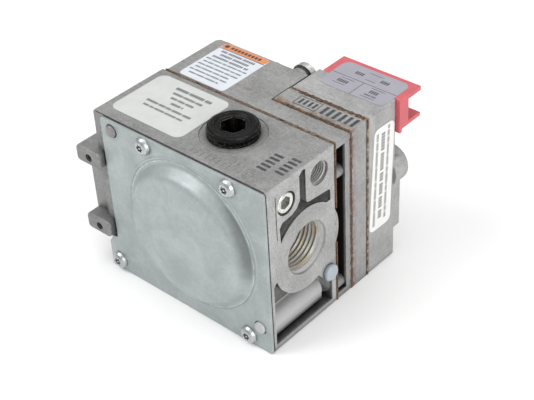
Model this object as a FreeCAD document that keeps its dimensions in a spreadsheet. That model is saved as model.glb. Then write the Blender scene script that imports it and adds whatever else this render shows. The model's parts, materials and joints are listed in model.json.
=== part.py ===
import FreeCAD, Part
import math
import os
import Sketcher

# Combination gas control valve, millimetres.
# The origin is the centre of the outlet port's mouth. +X points out of the outlet, +Y runs
# from the diaphragm cover to the control knob, and +Z is up: the valve lies on its lower side.

SIZES = {
    # castings, stacked along Y
    "body_length": 89.0,
    "half_height": 38.2,
    "body_front": 21.6,
    "body_back": 17.0,
    "body_gasket": 0.7,
    "slab_back": 26.2,
    "operator_gasket": 0.9,
    "plate_back": 36.6,
    "cover_gasket": 0.8,
    "cover_back": 54.8,
    "control_length": 87.3,
    "control_back": 48.4,
    "control_step": 38.5,
    "operator_length": 38.0,
    "casting_edge": 0.7,
    "gasket_proud": 0.12,
    # outlet end
    "port_radius": 10.77,
    "port_depth": 16.0,
    "port_chamfer": 0.7,
    "port_boss": 18.5,
    "port_step": 9.4,
    "pocket_depth": 7.0,
    "pilot_across": 7.9,
    "pilot_up": 30.2,
    "pilot_radius": 5.05,
    "pilot_depth": 9.5,
    "tap_across": 10.75,
    "tap_up": 27.5,
    "tap_radius": 4.85,
    "vent_across": 12.0,
    "vent_down": 19.6,
    "vent_head": 3.5,
    # inlet end
    "inlet_end": 98.0,
    "flange_front": 19.3,
    "flange_half": 20.9,
    "ear_front": 26.0,
    "ear_inner": 84.3,
    "ear_low": 13.3,
    "ear_hole_along": 90.4,
    "ear_hole_up": 17.1,
    "ear_hole_radius": 1.75,
    "inlet_bore_end": 83.0,
    # main valve and its diaphragm, on one axis along Y
    "valve_along": 38.5,
    "valve_up": 1.7,
    "chamber_radius": 29.0,
    "chamber_depth": 7.0,
    "stem_radius": 2.5,
    "stem_gap": 0.05,
    "seat_radius": 8.5,
    "seat_front": 3.5,
    "seat_back": 7.0,
    "valve_room": 12.0,
    # diaphragm cover
    "cover_sheet": 1.1,
    "diaphragm_edge": 0.4,
    "dome_base": 31.2,
    "dome_top": 27.0,
    "dome_height": 5.4,
    "bead_radius": 33.2,
    "peg_radius": 2.6,
    "cover_head": 3.8,
    "machine_screw": 1.7,
    "screw_clearance": 0.08,
    "cap_screw": 1.3,
    "cap_head": 2.4,
    "terminal_screw": 1.45,
    # side outlet plug on top
    "plug_along": 34.3,
    "plug_front": 0.2,
    "plug_radius": 10.35,
    "plug_shank": 9.2,
    "plug_top": 42.6,
    "spot_face": 13.2,
    # gas cock and knob, on one axis along Y
    "cock_along": 63.0,
    "cock_radius": 11.0,
    "knob_radius": 13.0,
    "push_rod": 2.4,
    # regulator screw and pilot screw
    "regulator_along": 43.8,
    "regulator_up": 33.6,
    "regulator_bore": 3.4,
    "pilot_screw_along": 49.5,
    "pilot_screw_down": 27.0,
    "pilot_screw_radius": 2.6,
    # operator
    "coil_along": 7.0,
    "coil_up": 2.5,
    "coil_bore": 5.9,
    "armature_pivot_along": 30.5,
    "armature_middle": 39.2,
    "servo_along": 24.0,
    "boss_radius": 8.45,
    "boss_back": 63.0,
    "pad_back": 58.6,
    "long_screw_in": 4.0,
    "long_screw_out": 34.2,
    "long_screw_up": 21.8,
    "long_screw_down": 32.8,
    # terminal block
    "block_left": 36.0,
    "block_right": 1.8,
    "block_back": 68.5,
    "block_flange": 2.1,
    "block_web": 60.5,
    "shelf_top": 26.1,
    "shelf_bottom": 24.3,
    "block_bottom": 22.7,
    "terminal_spacing": 12.6,
    "label_sheet": 0.15,
}


class Size:
    """A length that keeps its value together with the spreadsheet expression behind it."""

    def __init__(self, value, text):
        self.value = value
        self.text = text

    def __add__(self, other):
        other = size_of(other)
        return Size(self.value + other.value, f"({self.text} + {other.text})")

    def __sub__(self, other):
        other = size_of(other)
        return Size(self.value - other.value, f"({self.text} - {other.text})")

    def __mul__(self, factor):
        return Size(self.value * factor, f"({self.text} * {factor:.6f})")

    def __neg__(self):
        return self * -1.0

    __radd__ = __add__
    __rmul__ = __mul__


def size_of(number):
    """A plain number as a Size; a Size is returned as it is."""
    if isinstance(number, Size):
        return number
    return Size(float(number), f"{float(number):.6f}")


class Sizes:
    """The driving sizes by name, each bound to its cell of the spreadsheet."""


def make_sheet():
    sheet = doc.addObject("Spreadsheet::Sheet", "Dimensions")
    sizes = Sizes()
    for row, (alias, value) in enumerate(SIZES.items(), start=1):
        sheet.set(f"A{row}", alias)
        sheet.set(f"B{row}", str(value))
        sheet.setAlias(f"B{row}", alias)
        setattr(sizes, alias, Size(value, f"Dimensions.{alias}"))
    return sizes


doc = FreeCAD.newDocument("gas_valve")
s = make_sheet()
doc.recompute()


# ---------------------------------------------------------------- sketches and bodies

ORIGIN = -1
FIRST_POINT, LAST_POINT, CENTRE = 1, 2, 3
# each origin plane's name, and which way its normal points along the third axis
PLANES = {"XY": ("XY_Plane", 1), "XZ": ("XZ_Plane", -1), "YZ": ("YZ_Plane", 1)}
# for a turned shape: its sketch's plane, and the sketch axis that lies along the turning axis
TURNS = {"X": ("XY", "H_Axis"), "Y": ("XY", "V_Axis"), "Z": ("XZ", "V_Axis")}


def constrain(sketch, kind, *places, size):
    """Adds a constraint of the given kind and ties it to the size's expression."""
    index = sketch.addConstraint(Sketcher.Constraint(kind, *places, size.value))
    sketch.setExpression(f"Constraints[{index}]", size.text)


def pin_point(sketch, geometry, point, across, up):
    constrain(sketch, "DistanceX", ORIGIN, FIRST_POINT, geometry, point, size=across)
    constrain(sketch, "DistanceY", ORIGIN, FIRST_POINT, geometry, point, size=up)


def arc_between(start, end, radius):
    """The short arc from start to end: to the left for a positive radius, else to the right."""
    chord = end - start
    turn = 1.0 if radius > 0 else -1.0
    middle = (start + end) * 0.5
    left = FreeCAD.Vector(-chord.y, chord.x, 0).normalize()
    rise = math.sqrt(max(radius ** 2 - chord.Length ** 2 / 4, 0.0))
    centre = middle + left * (turn * rise)
    circle = Part.Circle(centre, FreeCAD.Vector(0, 0, 1), abs(radius))
    first, last = (start, end) if turn > 0 else (end, start)
    angles = [math.atan2(p.y - centre.y, p.x - centre.x) for p in (first, last)]
    return Part.ArcOfCircle(circle, angles[0], angles[1])


def draw_outline(sketch, points):
    """A closed outline. A point's third number, if any, is the radius of the arc after it."""
    corners = [(size_of(point[0]), size_of(point[1])) for point in points]
    bends = [size_of(point[2]) if len(point) == 3 else None for point in points]
    spots = [FreeCAD.Vector(across.value, up.value, 0) for across, up in corners]
    count = len(points)
    ends = []
    for i, bend in enumerate(bends):
        start, end = spots[i], spots[(i + 1) % count]
        if bend is None:
            edge = sketch.addGeometry(Part.LineSegment(start, end), False)
            ends.append((edge, FIRST_POINT, LAST_POINT))
        else:
            edge = sketch.addGeometry(arc_between(start, end, bend.value), False)
            near, far = (FIRST_POINT, LAST_POINT) if bend.value > 0 else (LAST_POINT, FIRST_POINT)
            ends.append((edge, near, far))
            constrain(sketch, "Radius", edge, size=bend if bend.value > 0 else -bend)
    for i in range(count):
        edge, _, far = ends[i]
        following, near, _ = ends[(i + 1) % count]
        sketch.addConstraint(Sketcher.Constraint("Coincident", edge, far, following, near))
        pin_point(sketch, ends[i][0], ends[i][1], *corners[i])


def draw_circle(sketch, across, up, radius):
    across, up, radius = size_of(across), size_of(up), size_of(radius)
    centre = FreeCAD.Vector(across.value, up.value, 0)
    circle = Part.Circle(centre, FreeCAD.Vector(0, 0, 1), radius.value)
    edge = sketch.addGeometry(circle, False)
    pin_point(sketch, edge, CENTRE, across, up)
    constrain(sketch, "Radius", edge, size=radius)


def circle(across, up, radius):
    return ("circle", across, up, radius)


def outline(*points):
    return ("outline", points)


def rectangle(across, up):
    """A rectangle from a (low, high) pair each way."""
    return outline((across[0], up[0]), (across[1], up[0]), (across[1], up[1]), (across[0], up[1]))


def rounded(across, up, radius):
    """A rectangle with all four corners rounded."""
    low, high = size_of(across[0]), size_of(across[1])
    bottom, top = size_of(up[0]), size_of(up[1])
    return outline((low + radius, bottom), (high - radius, bottom, radius),
                   (high, bottom + radius), (high, top - radius, radius),
                   (high - radius, top), (low + radius, top, radius),
                   (low, top - radius), (low, bottom + radius, radius))


def polygon(across, up, radius, sides, start=0.0):
    """A regular polygon, with its first corner at the start angle in degrees."""
    across, up = size_of(across), size_of(up)
    corners = []
    for i in range(sides):
        angle = math.radians(start) + 2 * math.pi * i / sides
        corners.append((across + size_of(radius) * math.cos(angle),
                        up + size_of(radius) * math.sin(angle)))
    return outline(*corners)


def star(across, up, outer, inner, lobes):
    """A lobed driving recess: corners alternate between two radii."""
    across, up = size_of(across), size_of(up)
    corners = []
    for i in range(2 * lobes):
        angle = math.pi * i / lobes
        radius = size_of(outer if i % 2 == 0 else inner)
        corners.append((across + radius * math.cos(angle), up + radius * math.sin(angle)))
    return outline(*corners)


class Piece:
    """One named sub-part: a PartDesign body with sketched features."""

    def __init__(self, label, several=False):
        self.body = doc.addObject("PartDesign::Body", label)
        self.body.Label = label
        self.body.AllowCompound = several
        self.label = label

    def sketch(self, plane, offset, shapes):
        role, _ = PLANES[plane]
        sketch = self.body.newObject("Sketcher::SketchObject", f"{self.label}_sketch")
        base = [item for item in self.body.Origin.OriginFeatures if item.Role == role][0]
        sketch.AttachmentSupport = [(base, "")]
        sketch.MapMode = "FlatFace"
        place = FreeCAD.Vector(*[part.value for part in offset])
        sketch.AttachmentOffset = FreeCAD.Placement(place, FreeCAD.Rotation())
        for axis, part in zip("xyz", offset):
            sketch.setExpression(f"AttachmentOffset.Base.{axis}", part.text)
        for shape in shapes:
            if shape[0] == "circle":
                draw_circle(sketch, *shape[1:])
            else:
                draw_outline(sketch, shape[1])
        doc.recompute()
        return sketch

    def raise_from(self, kind, plane, start, end, shapes, against):
        """A pad or a pocket between two places on the axis that crosses the plane."""
        start, end = size_of(start), size_of(end)
        normal = PLANES[plane][1]
        zero = size_of(0)
        sketch = self.sketch(plane, (zero, zero, start * normal), shapes)
        feature = self.body.newObject(f"PartDesign::{kind}", f"{self.label}_{kind.lower()}")
        feature.Profile = sketch
        forward = end.value > start.value
        length = end - start if forward else start - end
        feature.setExpression("Length", length.text)
        feature.Length = length.value
        feature.Reversed = (forward != (normal > 0)) != against
        doc.recompute()
        return feature

    def add(self, plane, start, end, *shapes):
        self.raise_from("Pad", plane, start, end, shapes, against=False)
        return self

    def cut(self, plane, start, end, *shapes):
        before = self.body.Shape.Volume
        self.raise_from("Pocket", plane, start, end, shapes, against=True)
        self.must_shrink(before)
        return self

    def turn(self, axis, centre, *shapes):
        """A turned shape. The outline's points are (radius, place along the axis)."""
        plane, line = TURNS[axis]
        first, second = size_of(centre[0]), size_of(centre[1])
        zero = size_of(0)
        offsets = {"X": (zero, first, second), "Y": (first, zero, second),
                   "Z": (first, zero, -second)}
        if axis == "X":
            shapes = [outline(*[(p[1], p[0]) + tuple(p[2:]) for p in shape[1]]) for shape in shapes]
        sketch = self.sketch(plane, offsets[axis], shapes)
        feature = self.body.newObject("PartDesign::Revolution", f"{self.label}_turned")
        feature.Profile = sketch
        feature.ReferenceAxis = (sketch, [line])
        feature.Angle = 360.0
        doc.recompute()
        return self

    def coil(self, centre, radius, wire, start, end, turns):
        """A compression spring about an axis along Y, with its wire inside start and end."""
        first, second = size_of(centre[0]), size_of(centre[1])
        start, end, wire = size_of(start), size_of(end), size_of(wire)
        section = circle(radius, start + wire, wire)
        sketch = self.sketch("XY", (first, size_of(0), second), [section])
        feature = self.body.newObject("PartDesign::AdditiveHelix", f"{self.label}_coil")
        feature.Profile = sketch
        feature.ReferenceAxis = (sketch, ["V_Axis"])
        feature.Mode = "height-turns-angle"
        height = end - start - wire * 2
        feature.Height = height.value
        feature.setExpression("Height", height.text)
        feature.Turns = turns
        feature.Angle = 0
        feature.Growth = 0
        feature.LeftHanded = False
        feature.Reversed = False
        doc.recompute()
        return self

    def dress(self, kind, size, wanted, setting):
        """A fillet or chamfer on every edge that the wanted() test picks."""
        names = [f"Edge{i}" for i, edge in enumerate(self.body.Shape.Edges, start=1) if wanted(edge)]
        if not names:
            raise ValueError(f"{self.label}: no edge to {kind.lower()}")
        feature = self.body.newObject(f"PartDesign::{kind}", f"{self.label}_{kind.lower()}")
        feature.Base = (self.body.Group[-2], names)
        size = size_of(size)
        setattr(feature, setting, size.value)
        feature.setExpression(setting, size.text)
        doc.recompute()
        return self

    def fillet(self, radius, wanted):
        return self.dress("Fillet", radius, wanted, "Radius")

    def chamfer(self, size, wanted):
        return self.dress("Chamfer", size, wanted, "Size")

    def must_shrink(self, before):
        if self.body.Shape.Volume > before - 1e-3:
            raise ValueError(f"{self.label}: a cut removed nothing")


def curve_kind(edge):
    """The edge's curve type, or nothing where the kernel has no name for it."""
    try:
        return edge.Curve.TypeId
    except TypeError:
        return None


def straight(edge):
    return curve_kind(edge) == "Part::GeomLine"


def ring(radius, along=None):
    """A test for round edges of one radius, and at one place along Y if it is given."""
    def wanted(edge):
        if curve_kind(edge) != "Part::GeomCircle" or abs(edge.Curve.Radius - radius.value) > 0.01:
            return False
        return along is None or abs(edge.Curve.Center.y - size_of(along).value) < 0.01
    return wanted


# ---------------------------------------------------------------- shared places

ZERO = size_of(0)
FRONT = -s.body_front
CONTROL_FRONT = s.body_back + s.body_gasket
PLATE_FRONT = s.slab_back + s.operator_gasket
COVER_FRONT = s.plate_back + s.cover_gasket
DIAPHRAGM_FRONT = FRONT - s.diaphragm_edge
COVER_OUTSIDE = DIAPHRAGM_FRONT - s.cover_sheet
HEIGHT = (-s.half_height, s.half_height)
VALVE_AXIS = (-s.valve_along, s.valve_up)
COCK_AXIS = (-s.cock_along, ZERO)
PLUG_AXIS = (-s.plug_along, -s.plug_front)
REGULATOR_AXIS = (-s.regulator_along, s.regulator_up)
PILOT_SCREW_AXIS = (-s.pilot_screw_along, -s.pilot_screw_down)
COIL_AXIS = (-s.coil_along, s.coil_up)
COVER_SCREWS = [(-59.6, 34.2), (-16.6, 34.2), (-83.0, -32.9), (-11.0, -33.4)]
COVER_PEGS = [(-77.4, 33.7), (-5.1, -26.8)]
BODY_SCREWS = [(-83.0, 33.6), (-83.0, -33.6), (-43.2, -33.6), (-56.0, 33.6)]
LONG_SCREWS = [(-s.long_screw_in, s.long_screw_up), (-s.long_screw_out, s.long_screw_up),
               (-s.long_screw_out, -s.long_screw_down), (-s.long_screw_in, -s.long_screw_down)]
TAPPED = s.machine_screw + s.screw_clearance
THROUGH = s.machine_screw + s.screw_clearance * 3
INLET_HOLE = 9.5


def circles(places, radius):
    return [circle(across, up, radius) for across, up in places]


def make_main_body():
    """The big casting: both ports, the diaphragm chamber, and the wall with the valve seat."""
    piece = Piece("main_body")
    piece.add("XZ", FRONT, s.body_back, rectangle((-s.body_length, ZERO), HEIGHT))
    piece.fillet(s.casting_edge, straight)
    add_inlet_flange(piece)
    peg_end = COVER_OUTSIDE - 1.1
    piece.add("XZ", FRONT, peg_end, *circles(COVER_PEGS, s.peg_radius))
    piece.fillet(0.9, ring(s.peg_radius, peg_end))
    cut_outlet_end(piece)
    cut_inlet_end(piece)
    cut_main_valve_rooms(piece)
    cut_plug_hole(piece)
    piece.cut("XZ", FRONT, FRONT + 8.5, *circles(COVER_SCREWS, TAPPED))
    piece.cut("XZ", s.body_back, s.body_back - 8.5, *circles(BODY_SCREWS, TAPPED))
    return piece


def add_inlet_flange(piece):
    """The inlet boss with its two ears, which stand forward beside the diaphragm cover."""
    flange = ((-s.inlet_end, -s.body_length + 1), (-s.flange_half, s.flange_half))
    piece.add("XZ", -s.flange_front, s.body_back - 0.6, rounded(*flange, 2.0))
    for low, high in ((s.ear_low, s.flange_half), (-s.flange_half, -s.ear_low)):
        piece.add("XZ", -s.ear_front, -s.flange_front + 1,
                  rounded((-s.inlet_end, -s.ear_inner), (low, high), 2.0))
    piece.fillet(1.1, lambda edge: lies_across(edge, -s.ear_front))
    holes = [(-s.ear_hole_along, s.ear_hole_up), (-s.ear_hole_along, -s.ear_hole_up)]
    piece.cut("XZ", -s.ear_front, -s.ear_front + 9, *circles(holes, s.ear_hole_radius))


def lies_across(edge, level):
    """Whether both ends of an edge lie on the plane across Y at that level."""
    return all(abs(vertex.Point.y - level.value) < 0.01 for vertex in edge.Vertexes)


def cut_outlet_end(piece):
    """Lightening pockets round the port boss, then the bosses put back and their holes."""
    upper = outline((-3.3, 24.6), (-5.2, 22.0), (-8.2, 20.6), (-13.4, 20.2), (-15.0, 18.4),
                    (-14.6, 9.5), (11.0, 9.5), (11.0, 14.3), (14.1, 14.3), (14.1, 18.6),
                    (13.4, 19.6), (1.0, 21.0), (0.2, 22.0), (0.2, 36.2), (-0.5, 36.8),
                    (-1.6, 36.9), (-3.3, 35.2))
    lower = outline((-19.8, -35.6), (14.1, -35.6), (14.1, -12.0), (-16.0, -5.0), (-18.6, -5.4),
                    (-19.8, -6.8))
    piece.cut("YZ", ZERO, -s.pocket_depth, upper)
    piece.cut("YZ", ZERO, -s.pocket_depth, lower)
    piece.add("YZ", -s.pocket_depth - 1, ZERO, circle(0, 0, s.port_boss))
    vent_land = outline((4.6, -11.5), (14.6, -11.5), (14.6, -24.6), (11.4, -24.6), (5.0, -16.4))
    piece.add("YZ", -s.pocket_depth - 1, ZERO, vent_land)
    cored_tube = [circle(-7.0, -29.0, 5.0), rectangle((-11.9, -2.3), (-33.2, -30.0))]
    for shape in cored_tube:
        piece.add("XZ", -20.3, 10.0, shape)
    piece.cut("YZ", ZERO, -s.port_depth, circle(0, 0, s.port_radius))
    piece.chamfer(s.port_chamfer, lambda edge: ring_on_x(edge, s.port_radius, 0))
    piece.cut("YZ", -s.port_depth, -22, circle(0, 0, s.port_step))
    piece.cut("YZ", ZERO, -s.pilot_depth, circle(s.pilot_across, s.pilot_up, s.pilot_radius))
    piece.cut("YZ", -s.pilot_depth, -19, circle(s.pilot_across, s.pilot_up, 1.9))
    piece.cut("YZ", ZERO, -10, circle(-s.tap_across, s.tap_up, s.tap_radius + 0.1))
    piece.cut("YZ", ZERO, -8.5, circle(s.vent_across, -s.vent_down, 2.4))


def ring_on_x(edge, radius, along):
    if curve_kind(edge) != "Part::GeomCircle":
        return False
    return abs(edge.Curve.Radius - radius.value) < 0.01 and abs(edge.Curve.Center.x - along) < 0.01


def cut_inlet_end(piece):
    """The threaded inlet, the step that the screen sits on, and the inlet room."""
    piece.cut("YZ", -s.inlet_end, -s.inlet_bore_end, circle(0, 0, s.port_radius))
    piece.chamfer(s.port_chamfer, lambda edge: ring_on_x(edge, s.port_radius, -98.0))
    piece.cut("YZ", -s.inlet_bore_end, -79, circle(0, 0, s.port_step))
    piece.cut("XZ", s.body_back, -9, rounded((-80.5, -53.6), (-11, 11), 2.5))


def cut_main_valve_rooms(piece):
    """Diaphragm chamber, stem guide, outlet room, seat and the room behind the seat."""
    chamber_end = FRONT + s.chamber_depth
    piece.cut("XZ", FRONT, chamber_end, circle(*VALVE_AXIS, s.chamber_radius))
    piece.cut("XY", 11, -10, rectangle((-50, -20), (-11, s.seat_front)))
    piece.cut("XZ", s.body_back, s.seat_back, circle(*VALVE_AXIS, s.valve_room))
    piece.cut("XZ", s.seat_back, s.seat_front - 0.5, circle(*VALVE_AXIS, s.seat_radius))
    piece.cut("XZ", chamber_end, -10.5, circle(*VALVE_AXIS, s.stem_radius + s.stem_gap))


def cut_plug_hole(piece):
    """The side outlet on top: a spot face, a threaded hole and a way down to the outlet room."""
    top = s.half_height
    piece.cut("XY", top, top - 0.25, circle(*PLUG_AXIS, s.spot_face))
    piece.cut("XY", top - 0.25, top - 1.2, circle(*PLUG_AXIS, s.plug_radius - 0.2))
    piece.cut("XY", top - 1.2, 26, circle(*PLUG_AXIS, s.plug_shank + 0.1))
    piece.cut("XY", 26, 9, circle(*PLUG_AXIS, 8.0))


def make_control_body():
    """The casting behind the main body: safety valve seat, gas cock bore, regulator bore."""
    piece = Piece("control_body")
    plan = outline((-s.control_length, CONTROL_FRONT), (ZERO, CONTROL_FRONT), (ZERO, s.slab_back),
                   (-s.control_step, s.slab_back), (-s.control_step, s.control_back),
                   (-s.control_length, s.control_back))
    piece.add("XY", -s.half_height, s.half_height, plan)
    piece.fillet(2.5, lambda edge: upright_at(edge, -s.control_length, s.control_back))
    piece.fillet(s.casting_edge, lambda edge: straight(edge) and not upright(edge))
    channel = rectangle((CONTROL_FRONT - 1, 23.0), (-35.2, 35.2))
    piece.cut("YZ", ZERO, -11, channel)
    pillars = [(-3.7, s.long_screw_up), (-3.7, -s.long_screw_down)]
    piece.add("XZ", CONTROL_FRONT, 24, *circles(pillars, 2.8))
    piece.add("XZ", s.control_back - 1, 50.0, circle(*REGULATOR_AXIS, 4.7))
    piece.cut("XZ", 50.0, 30, circle(*REGULATOR_AXIS, s.regulator_bore))
    cut_gas_way(piece)
    piece.cut("XZ", s.control_back, 35.5, circle(*PILOT_SCREW_AXIS, s.pilot_screw_radius + 0.06))
    piece.cut("XZ", 35.5, 30, circle(*PILOT_SCREW_AXIS, 1.2))
    piece.cut("XZ", s.control_back, CONTROL_FRONT - 1, *circles(BODY_SCREWS, THROUGH))
    piece.cut("XZ", s.slab_back, 19.5, *circles(LONG_SCREWS, TAPPED))
    return piece


def cut_gas_way(piece):
    """Safety valve seat, gas cock bore, and the way across to the main valve's room."""
    piece.cut("XZ", s.control_back, 24, circle(*COCK_AXIS, s.cock_radius))
    piece.cut("XZ", 24, CONTROL_FRONT - 1, circle(*COCK_AXIS, 6.0))
    piece.cut("XZ", CONTROL_FRONT, 23.4, circle(*VALVE_AXIS, 9.0))
    piece.cut("XY", 4, -3, rectangle((-54, -44), (19.5, 31)))
    piece.cut("XZ", s.control_back, 46.4, *circles(cap_screw_places(), s.cap_screw + s.screw_clearance))


def cap_screw_places():
    return [(COCK_AXIS[0] + 16.6, ZERO), (COCK_AXIS[0] - 16.6, ZERO)]


def upright(edge):
    return straight(edge) and abs(edge.tangentAt(edge.FirstParameter).z) > 0.99


def upright_at(edge, along, across):
    if not upright(edge):
        return False
    spot = edge.Vertexes[0].Point
    return abs(spot.x - along.value) < 0.1 and abs(spot.y - across.value) < 0.1


def make_operator_plate():
    """The casting that carries the servo valve, between the control body and the cover."""
    piece = Piece("operator_plate")
    piece.add("XZ", PLATE_FRONT, s.plate_back, rectangle((-s.operator_length, ZERO), HEIGHT))
    piece.fillet(s.casting_edge, upright)
    piece.cut("XZ", s.plate_back, 31, rounded((-33, -3), (-25, 12), 2))
    piece.cut("XZ", 31, 26.5, circle(-s.servo_along, s.coil_up, 1.6), circle(-12, -20, 2.0))
    piece.cut("XZ", s.plate_back, 26.5, *circles(LONG_SCREWS, THROUGH))
    return piece


def make_operator_cover():
    """The outer casting of the operator, with its raised pad and the round coil housing."""
    piece = Piece("operator_cover")
    piece.add("XZ", COVER_FRONT, s.cover_back, rectangle((-s.operator_length, ZERO), HEIGHT))
    piece.fillet(s.casting_edge, straight)
    piece.add("XZ", s.cover_back - 1, s.pad_back, rounded((-30, -0.2), (-25.6, 9.5), 1.5))
    piece.add("XZ", s.cover_back - 1, s.boss_back, circle(*COIL_AXIS, s.boss_radius))
    piece.fillet(1.6, ring(s.boss_radius, s.boss_back))
    piece.add("XZ", s.pad_back - 0.5, s.pad_back + 0.9, circle(-1.9, -10.5, 1.1))
    piece.cut("XZ", COVER_FRONT, 50.5, rounded((-33, -2.6), (-25, 12), 2))
    piece.cut("XZ", 41, s.boss_back - 1.6, circle(*COIL_AXIS, s.coil_bore))
    piece.cut("XY", 13.5, -26.5, circle(-s.armature_pivot_along, s.armature_middle, 0.83))
    piece.cut("XZ", s.cover_back, s.cover_back - 4, *circles(LONG_SCREWS, 3.3))
    piece.cut("XZ", s.cover_back, COVER_FRONT - 0.5, *circles(LONG_SCREWS, THROUGH))
    piece.cut("XZ", s.cover_back, 49.5, *circles(peg_places(), 2.3))
    return piece


def peg_places():
    return [(-27.0, 31.0), (-9.0, 31.0)]


# ---------------------------------------------------------------- gaskets and diaphragm

def make_body_gasket():
    piece = Piece("body_gasket")
    edge = s.gasket_proud
    sheet = rectangle((-s.control_length - edge, edge), (-s.half_height, s.half_height + edge))
    piece.add("XZ", s.body_back, CONTROL_FRONT, sheet)
    piece.cut("XZ", s.body_back, CONTROL_FRONT + 1, circle(*COCK_AXIS, INLET_HOLE),
              circle(*VALVE_AXIS, s.valve_room), *circles(BODY_SCREWS, THROUGH))
    piece.cut("XZ", s.body_back, CONTROL_FRONT + 1, rectangle((-8.6, 1), (-8.4, 8.4)))
    return piece


def make_operator_gasket(label, start, end, opening):
    """A gasket of the operator stack: screw holes and one opening."""
    piece = Piece(label)
    edge = s.gasket_proud
    sheet = rectangle((-s.operator_length, edge), (-s.half_height, s.half_height + edge))
    piece.add("XZ", start, end, sheet)
    piece.cut("XZ", start, end + 1, opening, *circles(LONG_SCREWS, THROUGH))
    return piece


def cover_outline(grow):
    """The diaphragm cover's outline: cut away at the upper left, clear of the inlet ears."""
    return outline((-88.5 - grow, -38.0 - grow), (0.3 + grow, -38.0 - grow),
                   (0.3 + grow, 38.0 + grow), (-83.2 - grow, 38.0 + grow), (-83.2 - grow, -21.2),
                   (-86.4, -22.1), (-88.5 - grow, -25.6))


def make_diaphragm_cover():
    """Pressed sheet steel: a flat flange, a fine bead and a shallow round dome."""
    piece = Piece("diaphragm_cover")
    piece.add("XZ", DIAPHRAGM_FRONT, COVER_OUTSIDE, cover_outline(0))
    piece.fillet(1.0, lambda edge: across_sheet(edge))
    piece.cut("XZ", COVER_OUTSIDE, DIAPHRAGM_FRONT + 1, circle(*VALVE_AXIS, s.dome_base))
    crown = COVER_OUTSIDE - s.dome_height
    inner_crown = crown + s.cover_sheet
    wall = outline((s.dome_base + 1, COVER_OUTSIDE), (s.dome_base, COVER_OUTSIDE),
                   (s.dome_top, crown), (ZERO, crown), (ZERO, inner_crown),
                   (s.dome_top - 0.7, inner_crown), (s.dome_base - 0.7, DIAPHRAGM_FRONT),
                   (s.dome_base + 1, DIAPHRAGM_FRONT))
    piece.turn("Y", VALVE_AXIS, wall)
    piece.fillet(4.4, ring(s.dome_top, crown))
    piece.fillet(3.4, ring(s.dome_top - 0.7, inner_crown))
    piece.fillet(2.6, ring(s.dome_base, COVER_OUTSIDE))
    middle = s.bead_radius
    bead = outline((middle - 0.9, COVER_OUTSIDE + 0.2), (middle + 0.9, COVER_OUTSIDE + 0.2),
                   (middle + 0.9, COVER_OUTSIDE), (middle + 0.35, COVER_OUTSIDE - 0.28),
                   (middle - 0.35, COVER_OUTSIDE - 0.28), (middle - 0.9, COVER_OUTSIDE))
    piece.turn("Y", VALVE_AXIS, bead)
    piece.cut("XZ", COVER_OUTSIDE, DIAPHRAGM_FRONT + 1, *circles(COVER_SCREWS, THROUGH),
              *circles(COVER_PEGS, s.peg_radius + 0.35))
    return piece


def across_sheet(edge):
    return straight(edge) and abs(edge.tangentAt(edge.FirstParameter).y) > 0.99


def make_main_diaphragm():
    """Coated fabric clamped round its edge, with one rolled convolution."""
    piece = Piece("main_diaphragm")
    piece.add("XZ", FRONT, DIAPHRAGM_FRONT, cover_outline(-0.25))
    piece.cut("XZ", DIAPHRAGM_FRONT, FRONT + 1, *circles(COVER_SCREWS, THROUGH),
              *circles(COVER_PEGS, s.peg_radius + 0.2), circle(*VALVE_AXIS, s.stem_radius + 0.1))
    roll = outline((24.4, FRONT), (28.4, FRONT), (28.0, FRONT + 1.8), (24.8, FRONT + 1.8))
    piece.turn("Y", VALVE_AXIS, roll)
    return piece


# ---------------------------------------------------------------- screws and plugs

def pan_head(seat, out, head, height, shank, length):
    """Half section of a pan-head screw. Its head stands off the seat in the direction out."""
    seat = size_of(seat)
    head = size_of(head)
    tip = seat - out * length
    top = seat + out * height
    return outline((ZERO, tip), (shank, tip), (shank, seat), (head, seat),
                   (head, seat + out * height * 0.35), (head * 0.86, seat + out * height * 0.75),
                   (head * 0.62, top), (ZERO, top))


def make_screws(label, places, seat, out, head, height, length, shank=s.machine_screw, pin=True):
    """A set of equal screws with lobed drive recesses, some with a security pin."""
    piece = Piece(label, several=True)
    seat = size_of(seat)
    for place in places:
        piece.turn("Y", place, pan_head(seat, out, head, height, shank, length))
    top = seat + out * height
    for place in places:
        recess = [star(*place, size_of(head) * 0.46, size_of(head) * 0.32, 6)]
        if pin:
            recess.append(circle(*place, size_of(head) * 0.12))
        piece.cut("XZ", top, top - out * height * 0.6, *recess)
    return piece


def make_side_plug():
    """Countersunk hexagon-socket pipe plug of the side outlet."""
    piece = Piece("side_outlet_plug")
    top, radius, shank = s.plug_top, s.plug_radius, s.plug_shank
    half = outline((ZERO, top - 14.5), (shank - 0.4, top - 14.5), (shank, top - 3.2),
                   (radius - 0.2, top - 2.3), (radius, top - 1.8), (radius - 0.5, top - 0.6),
                   (radius - 1.8, top), (radius - 3.0, top - 0.1), (6.3, top - 0.9),
                   (ZERO, top - 0.9))
    piece.turn("Z", PLUG_AXIS, half)
    piece.cut("XY", top - 0.5, top - 9, polygon(*PLUG_AXIS, 5.45, 6, 12))
    return piece


def make_tap_plug():
    """Small hexagon-socket pipe plug of the outlet pressure tapping."""
    piece = Piece("pressure_tap_plug")
    radius = s.tap_radius
    half = outline((ZERO, -8.0), (radius - 0.2, -8.0), (radius, -1.2), (radius - 0.9, -0.35),
                   (3.4, -0.5), (ZERO, -0.5))
    piece.turn("X", (-s.tap_across, s.tap_up), half)
    piece.cut("YZ", -0.3, -5.0, polygon(-s.tap_across, s.tap_up, 2.8, 6, 20))
    return piece


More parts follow.
